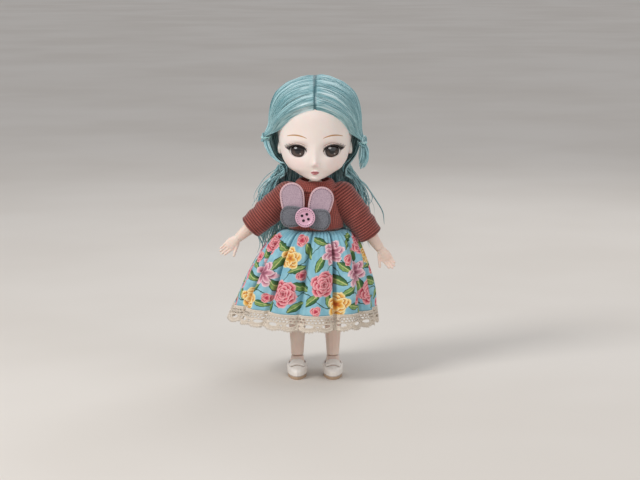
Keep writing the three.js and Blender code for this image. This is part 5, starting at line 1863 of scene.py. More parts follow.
@dataclass
class KnitTop:
    """Rib-knit body with a rolled collar and two three-quarter sleeves.

    Attributes:
        figure: The doll's landmarks.
        stations: Rows of rise above the top's lower edge, half width and half depth.
        ribs: How many ribs go round the body.
        rib_points: Points across each rib.
        wall: Thickness of the knit.
        ring: Spacing of the sleeve's rings.
        soft: How near the body and a sleeve run into each other.
        armhole: Radius of the openings under the sleeves.
        sleeve: Rows of distance down the arm and radius.
        collar_section: Rows of radius and rise, from the shoulder over the roll to the neck.
        body_piece: The knitted body, once it is built.
    """

    figure: Figure
    stations: tuple[tuple[float, ...], ...] = (
        (0.0, 15.1, 10.8), (5.0, 14.6, 11.4), (10.7, 13.6, 11.6), (16.7, 13.0, 11.0), (21.9, 10.8, 9.6),
        (23.9, 8.0, 8.0),
    )
    ribs: int = 64
    rib_points: int = 6
    wall: float = 0.7
    ring: float = 1.35
    soft: float = 5.5
    armhole: float = 5.1
    sleeve: tuple[tuple[float, float], ...] = ((0.0, 6.7), (6.0, 6.75), (12.0, 6.8), (22.5, 6.1), (26.5, 5.8))
    collar_section: tuple[tuple[float, float], ...] = (
        (12.2, -3.0), (11.2, -1.6), (10.2, -0.5), (9.3, 0.6), (8.6, 1.7), (7.8, 2.4), (7.2, 2.3), (6.8, 1.2),
        (6.6, -0.2),
    )
    body_piece: Piece | None = field(default=None, init=False)

    @property
    def neckline(self) -> float:
        """Height of the body's upper edge."""
        return self.figure.waist + self.stations[-1][0]

    @property
    def rib_u(self) -> Array:
        """The ribs passed at each point round the body, one value more than points."""
        return np.arange(self.ribs * self.rib_points + 1) / self.rib_points

    def build(self) -> None:
        """Builds and dresses the knitted pieces."""
        wool = RibKnit().make()
        self.body_piece = dress(self.body(), wool, "torso", "knit", "sweater_bodice")
        dress(self.collar(), wool, "torso", "knit", "sweater_collar")
        for side in Side:
            word = side.word
            piece = dress(self.sleeve_piece(side), wool, f"arm_{word}", "knit", f"sweater_sleeve_{word}")
            piece.parent = None
            start, end = self.arm_point(side, 15.5, 0, 0), self.arm_point(side, 23.0, 0, 0)
            self.figure.spot(*start)
            self.figure.spot(*end)
            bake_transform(piece)

    def size(self, z: Array) -> tuple[Array, Array]:
        """Half width and half depth of the body at a height."""
        read = read_table(np.array(self.stations), z - self.figure.waist)
        return read[..., 0], read[..., 1]

    @staticmethod
    def ridge(u: Array) -> Array:
        """Height of a rib, from 0 in the groove to 1 on the crest."""
        return np.abs(np.cos(np.pi * u)) ** 0.7

    def swell(self, gap: Array) -> Array:
        """How far one knitted form is drawn out towards another at this gap."""
        return np.clip(self.soft - np.maximum(gap, 0.0), 0, None) ** 2 / (4 * self.soft)

    def sleeve_gap(self, side: Side, points: Array) -> tuple[Array, Array]:
        """Distance from points to a sleeve's surface, and the way out of that sleeve."""
        turn = self.figure.arm_turns[side]
        rel = points - np.array([side.value * self.figure.half_shoulders, 0.0, self.figure.shoulder])
        axis = np.array([side.value * math.sin(turn), 0.0, -math.cos(turn)])
        down = np.clip(rel @ axis, 0.0, self.sleeve[-1][0])
        away = rel - down[..., None] * axis
        far = np.linalg.norm(away, axis=-1)
        return far - read_table(np.array(self.sleeve), down)[..., 0], unit(away)

    def body(self) -> Piece:
        """The body, open at the waist, the neck and the armholes."""
        turn, u = circle(self.ribs * self.rib_points), self.rib_u
        rows = 64
        z = self.figure.waist + np.linspace(0.0, self.stations[-1][0], rows)[:, None]
        width, depth = self.size(z)
        soft = 0.22 * np.sin(3 * turn + 0.3 * z) * np.sin(0.33 * z + 1)
        out = 0.34 * self.ridge(u[:-1])[None, :] - 0.3 + soft
        out = out - 1.3 * smooth_step(1.2, 0.0, z - self.figure.waist)
        grid = np.stack([(width + out) * np.cos(turn), (depth + out) * np.sin(turn), z + 0 * turn], -1)
        normal = unit(np.stack([np.cos(turn) / width, np.sin(turn) / depth, 0 * (turn + z)], -1))
        for side in Side:
            gap, away = self.sleeve_gap(side, grid)
            grid = grid + self.swell(gap)[..., None] * unit(normal + away)
        piece = sheet_piece(self.figure, "knitted_body", grid, u, z[:, 0] / 0.95, True)
        shoulder = np.array([self.figure.half_shoulders, 0.0, self.figure.shoulder])

        def in_armhole(middles: Array) -> Array:
            """Whether each face's middle lies in an armhole."""
            near = np.linalg.norm(np.abs(middles * [1, 0, 0]) + middles * [0, 1, 1] - shoulder, axis=1)
            return near < self.armhole

        drop_faces(piece, self.figure, in_armhole)
        return thicken(piece, self.wall)

    def collar(self) -> Piece:
        """The ribbed collar, rolled at the neck and running out over the shoulders."""
        rows = 30
        section = np.array(self.collar_section)
        share = np.linspace(0, len(section) - 1, rows)
        radius, rise = (np.interp(share, np.arange(len(section)), column)[:, None] for column in section.T)
        turn, u = circle(self.ribs * self.rib_points), self.rib_u
        fade = np.sin(np.pi * np.linspace(0.15, 0.85, rows))[:, None]
        out = radius + (0.34 * self.ridge(u[:-1]) - 0.2)[None, :] * fade
        z = self.neckline + 0.3 + rise + 0 * turn
        z = z - 0.7 * smooth_step(0.2, 1.0, -np.sin(turn))
        depth = 1 - 0.14 * np.clip((radius - 8.6) / 3.6, 0, 1)
        grid = np.stack([out * np.cos(turn) * 1.1, out * np.sin(turn) * depth, z], -1)
        return thicken(sheet_piece(self.figure, "rolled_collar", grid, u, share * 1.1, True), 0.3)

    def arm_point(self, side: Side, down: Array, ahead: Array, aside: Array) -> Array:
        """A point of the arm in the doll's millimetres.

        Args:
            side: The side of the body.
            down: Distance below the shoulder along the arm.
            ahead: Distance to the front.
            aside: Distance away from the body, across the arm.

        Returns:
            The point.
        """
        turn = self.figure.arm_turns[side]
        down, ahead, aside = np.broadcast_arrays(down, ahead, aside)
        x = side.value * (self.figure.half_shoulders + down * math.sin(turn) + aside * math.cos(turn))
        z = self.figure.shoulder - down * math.cos(turn) + aside * math.sin(turn)
        return np.stack([x, -ahead, z], -1)

    def sleeve_piece(self, side: Side) -> Piece:
        """A sleeve whose ribs ring the arm, with soft folds at the armpit and the elbow."""
        table = np.array(self.sleeve)
        top, end = -table[0, 1], table[-1, 0]
        dome = top * np.cos(np.linspace(0.06, np.pi / 2, 34))
        down = np.concatenate([dome, np.arange(self.ring / 8, end, self.ring / 8)])[:, None]
        columns, inset, round_stitches = 104, 0.4, 42
        theta = circle(columns)[None, :]
        straight = read_table(table, np.maximum(down, 0.0))[..., 0]
        radius = np.where(down < 0, np.sqrt(np.maximum(top**2 - down**2, 0.0)), straight)
        fold = 0.42 * np.sin(TURN * down / 6.2 + 1.4 * np.cos(theta) + 0.8 * side.value)
        fold = fold * np.exp(-(((down - 15.5) / 7.5) ** 2)) * (0.6 + 0.4 * np.cos(theta - 2.4))
        u = down / self.ring + 0.12 * np.sin(theta * 2 + down * 0.4)
        relief = (0.36 * self.ridge(u) - 0.28) * smooth_step(top, top + 1.5, down)
        out = radius + relief + fold * smooth_step(0, 5, down)
        out = out - 0.9 * smooth_step(end - 0.9, end, down)
        points = self.arm_point(side, down + 0 * theta, out * np.cos(theta), out * np.sin(theta))
        width, depth = self.size(points[..., 2])
        far = np.sqrt((points[..., 0] / width) ** 2 + (points[..., 1] / depth) ** 2)
        gap = (far - 1) * np.linalg.norm(points[..., :2], axis=-1) / np.maximum(far, 0.2)
        above = points[..., 2] - self.neckline
        over = np.hypot(np.maximum(gap, 0.0), np.maximum(above, 0.0))
        way = unit(np.stack([points[..., 0] / width**2, points[..., 1] / depth**2, 0 * far], -1))
        _, away = self.sleeve_gap(side, points)
        points = points + (self.swell(over) * (gap > -inset))[..., None] * unit(way + away)
        inside = (gap < -inset) & (above < 0)
        push = np.where(inside, (1 - inset / np.maximum(width, 1)) / np.maximum(far, 0.2), 1.0)
        points[..., :2] *= push[..., None]
        quads, corners = lattice(len(down), columns, True)
        corners = corners.astype(int)
        stitches = np.linspace(0, round_stitches, columns + 1)
        uv = np.stack([(down[:, 0] / self.ring)[corners[..., 1]], stitches[corners[..., 0]]], -1)
        if side is Side.LEFT:
            quads, uv = quads[:, ::-1], uv[:, ::-1]
        piece = mesh_piece(self.figure, f"knitted_sleeve_{side.word}", points.reshape(-1, 3), quads, uv)
        return thicken(piece, self.wall, 1.0)


@dataclass
class Skirt:
    """Gathered print skirt and its crocheted hem.

    Attributes:
        figure: The doll's landmarks.
        length: Length below the waist seam.
        pleats: How many deep pleats go round.
        scallops: How many scallops the hem has.
        front: Angle of the pleat at the middle of the front, in radians.
        lace_drop: Length of the lace as v counts it.
        lift: How much higher the hem hangs at the front of the doll's right side.
        mesh_rows: Heights of the lace's two rows of small holes.
        mesh_holes: Small holes in each row of a scallop.
    """

    figure: Figure
    length: float = 41.5
    pleats: int = 13
    scallops: int = 26
    front: float = math.radians(-92.9)
    lace_drop: float = 8.4
    lift: float = 2.6
    mesh_rows: tuple[float, float] = (2.0, 3.35)
    mesh_holes: int = 5

    def build(self, top: KnitTop) -> None:
        """Builds and dresses the skirt and its hem."""
        cloth = dress(self.cloth(), ChintzCotton().make(), "torso", "print_cotton", "skirt")
        cotton = Thread("crochet_cotton", "f1e6d8", "cfbea8").make()
        ground, cords = self.crochet_strip(), self.cords()
        hem = [dress(ground, cotton, "torso", "lace", "lace_hem"), dress(cords, cotton, "torso", "lace")]

    def point(self, turn: Array, share: Array, inward: float = 0.0) -> Array:
        """A point of the skirt, share 0 at the waist and 1 at the hem."""
        turn, share = np.broadcast_arrays(turn, share)
        half_width = 15.5 + 22.5 * share**0.5
        half_depth = 10.85 + 18.15 * share**0.62
        ease = 1 - 0.5 * smooth_step(0.7, 1.0, share)
        phase = self.pleats * (turn - self.front) + 0.5 * np.sin(3 * turn + 1)
        wave = np.cos(phase) + 0.3 * np.cos(4 * turn + 1)
        fold = -2.0 * (0.12 + 0.88 * share) * wave * ease
        pleat = np.exp(-(((1 - np.cos(phase)) / 0.13) ** 2))
        frontal = (0.5 + 0.5 * np.cos(turn + 1.38)) ** 2
        pleat = pleat * (0.4 + 0.6 * frontal) * (0.8 + 0.2 * np.sin(5 * turn + 1))
        fold = fold - 6.0 * (0.3 + 0.7 * share**0.5) * pleat * ease
        x = -5.5 * share + (half_width + fold - inward) * np.cos(turn)
        y = (half_depth + fold - inward) * np.sin(turn)
        raised = smooth_step(-0.1, 1.0, -np.cos(turn)) * smooth_step(0.8, -0.6, np.sin(turn))
        rise = self.lift * share**2 * raised
        return np.stack([x, y, self.figure.waist - 0.3 - self.length * share + rise], -1)

    def cloth(self) -> Piece:
        """The gathered cotton, with fine gathers under the waist seam."""
        columns, rows = 572, 76
        turn = (-1.5 * np.pi + circle(columns))[None, :]
        share = np.linspace(0, 1, rows)[:, None] ** 1.15
        gather = 0.6 * np.exp(-4.2 * share) * np.cos(57 * turn + 1.7 * np.sin(5 * turn))
        crease = np.sin(31 * turn + 2.2 * np.sin(3 * turn) + 2.5 * share)
        crease = 0.3 * smooth_step(0.05, 0.4, share) * crease
        sag = 0.35 * np.sin(7 * turn + 6 * share) * smooth_step(0.2, 0.7, share)
        grid = self.point(turn, share)
        radial = np.stack([np.cos(turn), np.sin(turn), 0 * turn], -1)
        hem_ease = 1 - 0.6 * smooth_step(0.9, 1.0, share)
        grid = grid - radial * (0.75 + (gather + crease + sag) * hem_ease)[..., None]
        around = (np.arange(columns + 1) / columns - 0.5) * (118.0 + 142.0 * share**0.7)
        down = share * 46.0
        quads, corners = lattice(rows, columns, True)
        column, row = corners[..., 0].astype(int), corners[..., 1].astype(int)
        uv = np.stack([around[row, column], down[row, 0]], -1)
        piece = mesh_piece(self.figure, "print_skirt", grid.reshape(-1, 3), quads[:, ::-1], uv[:, ::-1])
        return thicken(piece, 0.4, 0.0)

    def hang(self, turn: Array, drop: Array) -> Array:
        """A point of the hem's lace, drop millimetres below the cotton's edge."""
        turn, drop = np.broadcast_arrays(turn, drop)
        edge = self.point(turn, np.ones_like(turn), 0.5)
        slope = edge - self.point(turn, np.full_like(turn, 0.9), 0.5)
        return edge + slope * (drop / -slope[..., 2])[..., None]

    def cords(self) -> Piece:
        """The thicker threads of the crochet, along its edges and round its eyelets."""
        step = TURN / self.scallops
        s = np.linspace(0, 1, 31)
        ring = TURN * s
        edge = self.edge(s)
        cords: list[tuple[Array, Array, float]] = [
            (s, 0.3 + 0 * s, 0.36), (s, 1.1 + 0.16 * np.cos(16 * np.pi * s), 0.26),
            (s, edge - 0.15, 0.4), (s, edge - 0.95 + 0.1 * np.cos(12 * np.pi * s), 0.26),
        ]
        rings = [(0.5, 5.25, 0.3, 1.12, 0.34), (0.0, 5.5, 0.1, 0.62, 0.26)]
        for row, level in enumerate(self.mesh_rows):
            for k in range(self.mesh_holes):
                rings.append(((k + 0.5 * row) / self.mesh_holes, level, 0.085, 0.58, 0.16))
        for k in range(6):
            middle = (k + 0.5) / 6
            rings.append((middle, float(self.edge(np.array(middle))) + 0.3, 0.05, 0.3, 0.2))
        for middle, level, wide, high, thick in rings:
            cords.append((middle + wide * np.cos(ring), level + high * np.sin(ring), thick))
        across, drop = np.array([a for a, _, _ in cords]), np.array([d for _, d, _ in cords])
        thick = np.array([w for _, _, w in cords])[:, None] + 0 * across
        chance = np.random.default_rng(5)
        wander = chance.normal(0, 0.07, (2, self.scallops, len(cords), 1))
        wander[:, :, :4] = 0
        number = np.arange(self.scallops)[:, None, None]
        turn = (number + across + wander[0] * 0.1) * step + self.front
        paths = self.hang(turn, drop + wander[1]).reshape(-1, len(s), 3)
        radial = unit(paths * np.array([1.0, 1.0, 0.0]))
        paths = paths + radial * (0.22 + 0.1 * np.sin(np.arange(len(s)) * 2.2))[:, None]
        widths = np.tile(thick, (self.scallops, 1))
        return Strands(paths, radial, widths, widths * 0.75, 5).piece(self.figure, "crochet_cords")

    @staticmethod
    def edge(share: Array) -> Array:
        """How far the lace falls, over one scallop from 0 to 1."""
        return 6.7 + 1.25 * np.abs(np.sin(np.pi * share)) ** 0.8

    def crochet_strip(self) -> Piece:
        """Dense crochet with a row of wide eyelets and a scalloped edge, its holes left open."""
        per, rows = 44, 34
        columns = per * self.scallops
        share = (np.arange(columns) % per) / per
        turn = circle(columns) + self.front
        drop = np.linspace(0, 1, rows)[:, None] * self.edge(share)[None, :]
        grid = self.hang(turn[None, :] + 0 * drop, drop)
        knots = np.sin(TURN * (share * 15 + 0.25 * np.sin(drop * 5))) * np.sin(TURN * drop / 0.9)
        radial = unit(grid * np.array([1.0, 1.0, 0.0]))
        grid = grid + radial * (0.13 * knots)[..., None]
        quads, corners = lattice(rows, columns, True)
        column = corners[..., 0].astype(int) % columns
        s, d = share[column].mean(1), drop[corners[..., 1].astype(int), column].mean(1)
        s = np.where(np.ptp(share[column], axis=1) > 0.5, 0.0, s)
        hole = ((s - 0.5) / 0.26) ** 2 + ((d - 5.25) / 0.92) ** 2 < 1
        hole |= (np.minimum(s, 1 - s) / 0.075) ** 2 + ((d - 5.5) / 0.45) ** 2 < 1
        for row, level in enumerate(self.mesh_rows):
            off = (s * self.mesh_holes + 0.5 - 0.5 * row) % 1 - 0.5
            hole |= (off / 0.36) ** 2 + ((d - level) / 0.5) ** 2 < 1
        v = np.linspace(0, self.lace_drop, rows)
        uv = np.stack([corners[..., 0] * 0.21, v[corners[..., 1].astype(int)]], -1)
        quads, uv = quads[~hole][:, ::-1], uv[~hole][:, ::-1]
        strip = mesh_piece(self.figure, "crochet_hem", grid.reshape(-1, 3), quads, uv)
        return thicken(strip, 0.35, 0.0)


@dataclass(frozen=True)
class Lobe:
    """One felt lobe of the bow, a teardrop that points to the button.

    Attributes:
        node: Its CAD node.
        length: Length.
        width: Width.
        turn: Degrees from straight up, anticlockwise seen from the front.
        layer: 0 next to the chest, 1 in front.
        foot: Its lower end, from the button's middle, as x and z.
        blunt: How long its rounded end is, as a share of half its width.
        base: Half width near its lower end, as a share of half its width.
    """

    node: str
    length: float
    width: float
    turn: float
    layer: int
    foot: tuple[float, float]
    blunt: float
    base: float

    def outline(self, inset: float, count: int = 26) -> Array:
        """Points (x, z) round the lobe, moved in by inset."""
        half = self.width / 2
        straight = self.length - half * self.blunt
        s = np.linspace(0, 1, count)
        controls = [(0, 0), (half * self.base, 0), (half, straight * 0.5), (half, straight)]
        right = bezier(controls, s)[:-1]
        arc = np.pi * s
        cap = np.column_stack([half * np.cos(arc), straight + half * self.blunt * np.sin(arc)])[:-1]
        left = right[::-1] * [-1, 1]
        loop = np.vstack([right, cap, [[-half, straight]], left[:-1]])
        ahead = np.roll(loop, -1, 0) - np.roll(loop, 1, 0)
        normal = unit(np.column_stack([-ahead[:, 1], ahead[:, 0]]))
        loop = loop + normal * inset
        loop[:, 1] = np.maximum(loop[:, 1], inset)
        return loop

    def placed(self, flat: Array, y: Array | float, middle: tuple[float, float]) -> Array:
        """Points of the lobe's own plane turned and put behind the button."""
        c, s = math.cos(math.radians(self.turn)), math.sin(math.radians(self.turn))
        x = middle[0] + self.foot[0] + flat[:, 0] * c - flat[:, 1] * s
        z = middle[1] + self.foot[1] + flat[:, 0] * s + flat[:, 1] * c
        return np.column_stack([x, np.broadcast_to(y, x.shape), z])


@dataclass
class Bow:
    """Felt bow on the chest: two pink ears, two grey lobes and a round button.

    Attributes:
        figure: The doll's landmarks.
        x: The button's distance from the middle, to the doll's left.
        rise: Its height above the hips.
        chest: y of the back of the bow.
        felt: Thickness of one lobe.
        gap: Between two layers.
        edge: Thickness of a lobe's outer felt.
        button_radius: Radius of the button.
        button_depth: Thickness of the button.
        dashes: How many dashes are inlaid in its rim.
        lobes: The four lobes.
    """

    figure: Figure
    x: float = -5.1
    rise: float = 20.4
    chest: float = -11.9
    felt: float = 0.9
    gap: float = 0.3
    edge: float = 0.62
    button_radius: float = 5.2
    button_depth: float = 2.0
    dashes: int = 24
    lobes: tuple[Lobe, ...] = (
        Lobe("felt_ear_right", 18.4, 12.7, 6.0, 0, (-5.7, -0.4), 1.0, 0.95),
        Lobe("felt_ear_left", 17.0, 12.7, -15.0, 0, (5.9, -0.9), 1.0, 0.95),
        Lobe("felt_lobe_right", 13.3, 11.4, 92.0, 1, (0.2, 0.4), 0.72, 0.9),
        Lobe("felt_lobe_left", 13.6, 11.2, -96.0, 1, (-0.2, -0.6), 0.72, 0.9),
    )

    @property
    def middle(self) -> tuple[float, float]:
        """The button's middle, as x and z."""
        return self.x, self.figure.hip + self.rise

    def build(self, top: KnitTop) -> None:
        """Builds and dresses the bow."""
        pink = Felt("pink_felt_edge", "e2c0c3", "c8a3a9"), Felt("pink_felt", "c6adb8", "a68e9b")
        grey = Felt("grey_felt_edge", "7f7e84", "606067"), Felt("grey_felt", "7e7f86", "5d5f66")
        rose = Thread("rose_stitch", "8d6f7c", "64495a", 1.8)
        dark = Thread("dark_stitch", "4a474e", "2c2a30", 1.8)
        finishes = [[finish.make() for finish in row] for row in ((*pink, rose), (*grey, dark))]
        for lobe in self.lobes:
            slot = ("felt_pink", "felt_grey")[lobe.layer]
            outer, inner, stitch = finishes[lobe.layer]
            near = self.chest - lobe.layer * (self.felt + self.gap)
            base = self.slab(lobe, 0.0, near, near - self.edge, f"bow_{lobe.node}")
            dress(base, outer, "torso", slot, lobe.node)
            panel = self.panel(lobe, near, inner, stitch)
            dress(panel, None, "torso", slot)
        dress(self.button(), None, "torso", "button", "button")

    def panel(
        self, lobe: Lobe, near: float, felt: Material, stitch: Material
    ) -> Piece:
        """The inner felt of a lobe, held by running stitches along its edge.

        Args:
            lobe: The lobe.
            near: y of the lobe's back.
            felt: Finish of the felt.
            stitch: Finish of the thread.

        Returns:
            The felt and its stitches.
        """
        border = 0.85 if lobe.layer == 0 else 0.75
        face = self.slab(lobe, border, near - 0.5, near - self.felt, "panel")
        face.data.materials.append(felt)
        loop = lobe.outline(border + 0.22, 40)
        gone = np.linalg.norm(np.diff(loop, axis=0, prepend=loop[-1:]), axis=1).cumsum()
        starts = np.arange(2.0, gone[-1] - 2.5, 1.15)
        s = np.linspace(0, 1, 6)[None, :]
        place = starts[:, None] + 0.72 * s
        flat = np.stack([np.interp(place, gone, loop[:, 0]), np.interp(place, gone, loop[:, 1])], -1)
        rise = near - self.felt - 0.07 * np.sin(np.pi * s) + 0 * place
        paths = np.stack([lobe.placed(line, y, self.middle) for line, y in zip(flat, rise)])
        thick = 0.2 * np.sin(np.pi * np.linspace(0.02, 0.98, 6)) ** 0.5 + 0 * place
        stitches = Strands(paths, FRONT, thick, thick).piece(self.figure, "stitches")
        stitches.data.materials.append(stitch)
        return joined([stitches, face], f"panel_{lobe.node}")

    def slab(self, lobe: Lobe, inset: float, back: float, front: float, name: str) -> Piece:
        """A flat piece of felt with softened edges.

        Args:
            lobe: The lobe whose outline it has.
            inset: How far inside that outline.
            back: y of its back.
            front: y of its front.
            name: The piece's name.

        Returns:
            The piece.
        """
        rings = []
        for more, share in ((0.16, 0.0), (0.0, 0.3), (0.0, 0.7), (0.16, 1.0), (0.45, 1.06)):
            rings.append(lobe.placed(lobe.outline(inset + more), back + (front - back) * share, self.middle))
        core = np.array([[0.0, lobe.length * 0.55]])
        rear, hub = (lobe.placed(core, y, self.middle) for y in (back, front))
        steps = np.linspace(0, 1, 9)[1:]
        fan = [rings[-1] + (hub - rings[-1]) * k for k in steps]
        under = [rings[0] + (rear - rings[0]) * k for k in steps]
        grid = np.array([*under[::-1], *rings, *fan])
        grid[0], grid[-1] = rear, hub
        quads, _ = lattice(len(grid), len(rings[0]), True)
        return mesh_piece(self.figure, name, grid.reshape(-1, 3), quads, weld=0.004)

    def button(self) -> Piece:
        """A turned button with a raised rim, four holes and a ring of inlaid dashes."""
        half = self.button_depth / 2
        near = self.chest - 2 * (self.felt + self.gap)
        middle = self.figure.spot(self.x, near - half, self.middle[1])
        button = baked(self.rod(middle, self.button_radius, self.button_depth, 96))
        bpy.ops.object.mode_set(mode="EDIT")
        bpy.ops.mesh.select_mode(type="FACE")
        bpy.ops.mesh.select_all(action="DESELECT")
        work = bmesh.from_edit_mesh(button.data)
        for face in work.faces:
            face.select_set(face.normal.y < -0.9)
        bmesh.update_edit_mesh(button.data)
        for thickness, depth in ((1.5, 0.0), (0.35, -0.55), (0.8, 0.1)):
            bpy.ops.mesh.inset(thickness=thickness * MM, depth=depth * MM)
        bpy.ops.object.mode_set(mode="OBJECT")
        bevel = button.modifiers.new("soft_edge", "BEVEL")
        bevel.width, bevel.segments, bevel.angle_limit = 0.3 * MM, 4, math.radians(40)
        turns = [math.radians(62 + 90 * k) for k in range(4)]
        carve(button, [self.rod(self.round_place(middle, turn, 1.9, 0.0), 0.78, 8.0, 32) for turn in turns])
        button.data.materials.append(Plastic("pink_button", "dfaec2", "c98fa8", 0.32, 0.5).make())
        inlay = Plastic("button_inlay", "4b3540", "32222b", 0.5, 0.0).make()
        pieces = []
        for turn in circle(self.dashes):
            at = self.round_place(middle, turn, self.button_radius - 0.85, 0.01 - half)
            add = bpy.ops.mesh.primitive_uv_sphere_add
            dash = added(add, segments=12, ring_count=8, radius=MM, location=at, rotation=(0, -turn, 0))
            dash.scale = (0.2, 0.09, 0.36)
            pieces.append(dash)
        ring = settle(joined(pieces, "dashes"), "dashes", 60.0)
        ring.data.materials.append(inlay)
        return settle(joined([ring, button], "round_button"), "round_button", 35.0)

    @staticmethod
    def round_place(middle: Vector, turn: float, radius: float, ahead: float) -> Vector:
        """A place round the button's middle, in metres; radius and ahead are millimetres."""
        return middle + Vector((radius * math.cos(turn), ahead, radius * math.sin(turn))) * MM

    @staticmethod
    def rod(at: Vector, radius: float, depth: float, sides: int) -> Piece:
        """A round rod along Y, with radius and depth in millimetres."""
        return added(
            bpy.ops.mesh.primitive_cylinder_add,
            vertices=sides, radius=radius * MM, depth=depth * MM, location=at, rotation=(math.pi / 2, 0, 0),
        )


@dataclass
class Limbs:
    """Moulded body pieces, hands, shoes and the top's fastener.

    Attributes:
        figure: The doll's landmarks.
        nodes: The CAD nodes by name.
        top: The knitted top.
        digits: Each finger's root and tip, as x and distance down, and its two radii; the thumb is last.
        palm: Rows of distance down, half width and half thickness.
    """

    figure: Figure
    nodes: dict[str, Piece]
    top: KnitTop
    digits: tuple[tuple[tuple[float, float], tuple[float, float], float, float], ...] = (
        ((-2.3, 5.6), (-2.0, 10.9), 0.95, 0.6), ((-0.75, 6.0), (-0.55, 11.9), 0.95, 0.6),
        ((0.8, 5.9), (0.95, 11.5), 0.92, 0.58), ((2.2, 5.3), (2.1, 10.2), 0.85, 0.52),
        ((-2.1, 2.2), (-5.6, 7.7), 1.15, 0.66),
    )
    palm: tuple[tuple[float, float, float], ...] = (
        (-0.3, 2.3, 2.15), (1.0, 2.45, 2.0), (2.4, 2.9, 1.75), (3.9, 3.25, 1.5), (5.3, 3.2, 1.25),
    )

    def build(self) -> None:
        """Builds and dresses the limbs; pieces that stay hidden keep their CAD mesh."""
        vinyl = Vinyl().make()
        shoe = ShoeVinyl(self.figure).make()
        for side in Side:
            word = side.word
            for body in (f"forearm_{word}", f"thigh_{word}", f"shin_{word}", f"foot_{word}"):
                dress(self.moulded(body), vinyl, body, "skin", body)
            for node in (f"shoe_{word}", f"shoe_heel_{word}", f"shoe_strap_{word}"):
                dress(self.moulded(node, 0.2, 5), shoe, f"foot_{word}", "shoe", node)
            dress(self.hand(side), vinyl, f"hand_{word}", "skin", f"hand_{word}")
        dress(self.moulded("neck_joint"), vinyl, "neck", "skin", "neck_joint")
        felt = Felt("hook_and_loop", "8a4037", "5f2a25").make()
        dress(self.fastener(), felt, "torso", "knit", "back_fastener")
        hinge = Plastic("joint_plastic", "e6d3c6", "d5beb0", 0.45, 0.0).make()
        for name, node in self.nodes.items():
            node.data.materials.clear()
            node.data.materials.append(hinge if "joint" in name or "pin" in name else vinyl)

    def moulded(self, node: str, voxel: float = 0.26, passes: int = 7) -> Piece:
        """A CAD node's copy with the soft edges of a moulding.

        Args:
            node: The CAD node.
            voxel: Size of the remeshed faces.
            passes: How often they are smoothed.

        Returns:
            The new piece.
        """
        piece = twin(self.nodes[node])
        piece.parent = None
        for key in list(piece.keys()):
            del piece[key]
        with opened(piece.data) as work:
            bmesh.ops.remove_doubles(work, verts=work.verts, dist=1e-6)
            bmesh.ops.recalc_face_normals(work, faces=work.faces)
        whole = self.melted(piece, f"moulded_{node}", voxel, passes)
        if node.startswith(("foot", "shoe")):
            self.slim_toe(whole, Side.LEFT if node.endswith("left") else Side.RIGHT)
        return whole

    def slim_toe(self, piece: Piece, side: Side) -> None:
        """Slopes and narrows the toe of a foot or shoe piece."""
        count = len(piece.data.vertices)
        points = np.empty(count * 3)
        piece.data.vertices.foreach_get("co", points)
        points = self.figure.millimetres(points.reshape(-1, 3))
        toe = smooth_step(1.0, 13.0, -points[:, 1])
        middle = side.value * self.figure.half_hips
        points[:, 0] = middle + (points[:, 0] - middle) * (1 - 0.14 * toe)
        points[:, 2] -= 0.34 * toe * np.maximum(points[:, 2] - 2.0, 0.0)
        piece.data.vertices.foreach_set("co", self.figure.metres(points).ravel())

    @staticmethod
    def melted(piece: Piece, name: str, voxel: float, passes: int) -> Piece:
        """Fuses a piece's parts with a voxel remesh and smooths it."""
        choose(piece)
        if piece.data.has_custom_normals:
            bpy.ops.mesh.customdata_custom_splitnormals_clear()
        remesh = piece.modifiers.new("fuse", "REMESH")
        remesh.mode, remesh.voxel_size = "VOXEL", voxel * MM
        soften = piece.modifiers.new("soften", "SMOOTH")
        soften.factor, soften.iterations = 0.5, passes
        apply_modifiers(piece)
        return settle(piece, name, 80.0)

    def hand(self, side: Side) -> Piece:
        """An open hand with its fingers together and the thumb apart."""
        beads = []
        for root, tip, thick, thin in self.digits:
            for share in np.linspace(0, 1, 9):
                x, down = np.array(root) * (1 - share) + np.array(tip) * share
                radius = (thick * (1 - share) + thin * share) * (1 + 0.05 * math.sin(share * 9))
                beads.append((x, 0.5 * share**2, down, radius, radius * 0.92))
        beads += [(0.0, 0.0, down, width, thick) for down, width, thick in self.palm]
        pieces = []
        for x, ahead, down, width, thick in beads:
            ball = added(bpy.ops.mesh.primitive_uv_sphere_add, segments=20, ring_count=12, radius=MM)
            ball.scale = (width, thick, max(width * 0.8, 0.9))
            ball.location = Vector((side.value * x, -ahead, -down)) * MM
            pieces.append(ball)
        whole = baked(joined(pieces, "hand"))
        wrist = self.figure.spot(*self.top.arm_point(side, self.figure.wrist, 0, 0))
        turn = Matrix.Rotation(-side.value * self.figure.arm_turns[side], 4, "Y")
        whole.data.transform(Matrix.Translation(wrist) @ turn)
        return self.melted(whole, f"moulded_hand_{side.word}", 0.2, 9)

    def fastener(self) -> Piece:
        """The hook and loop strip down the back of the top."""
        low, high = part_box("back_fastener")
        strip = added(bpy.ops.mesh.primitive_cube_add, size=1.0, location=(low + high) / 2)
        strip.scale = high - low
        bevel = baked(strip).modifiers.new("soft_edge", "BEVEL")
        bevel.width, bevel.segments = 0.25 * MM, 3
        return settle(apply_modifiers(strip), "hook_and_loop_strip")


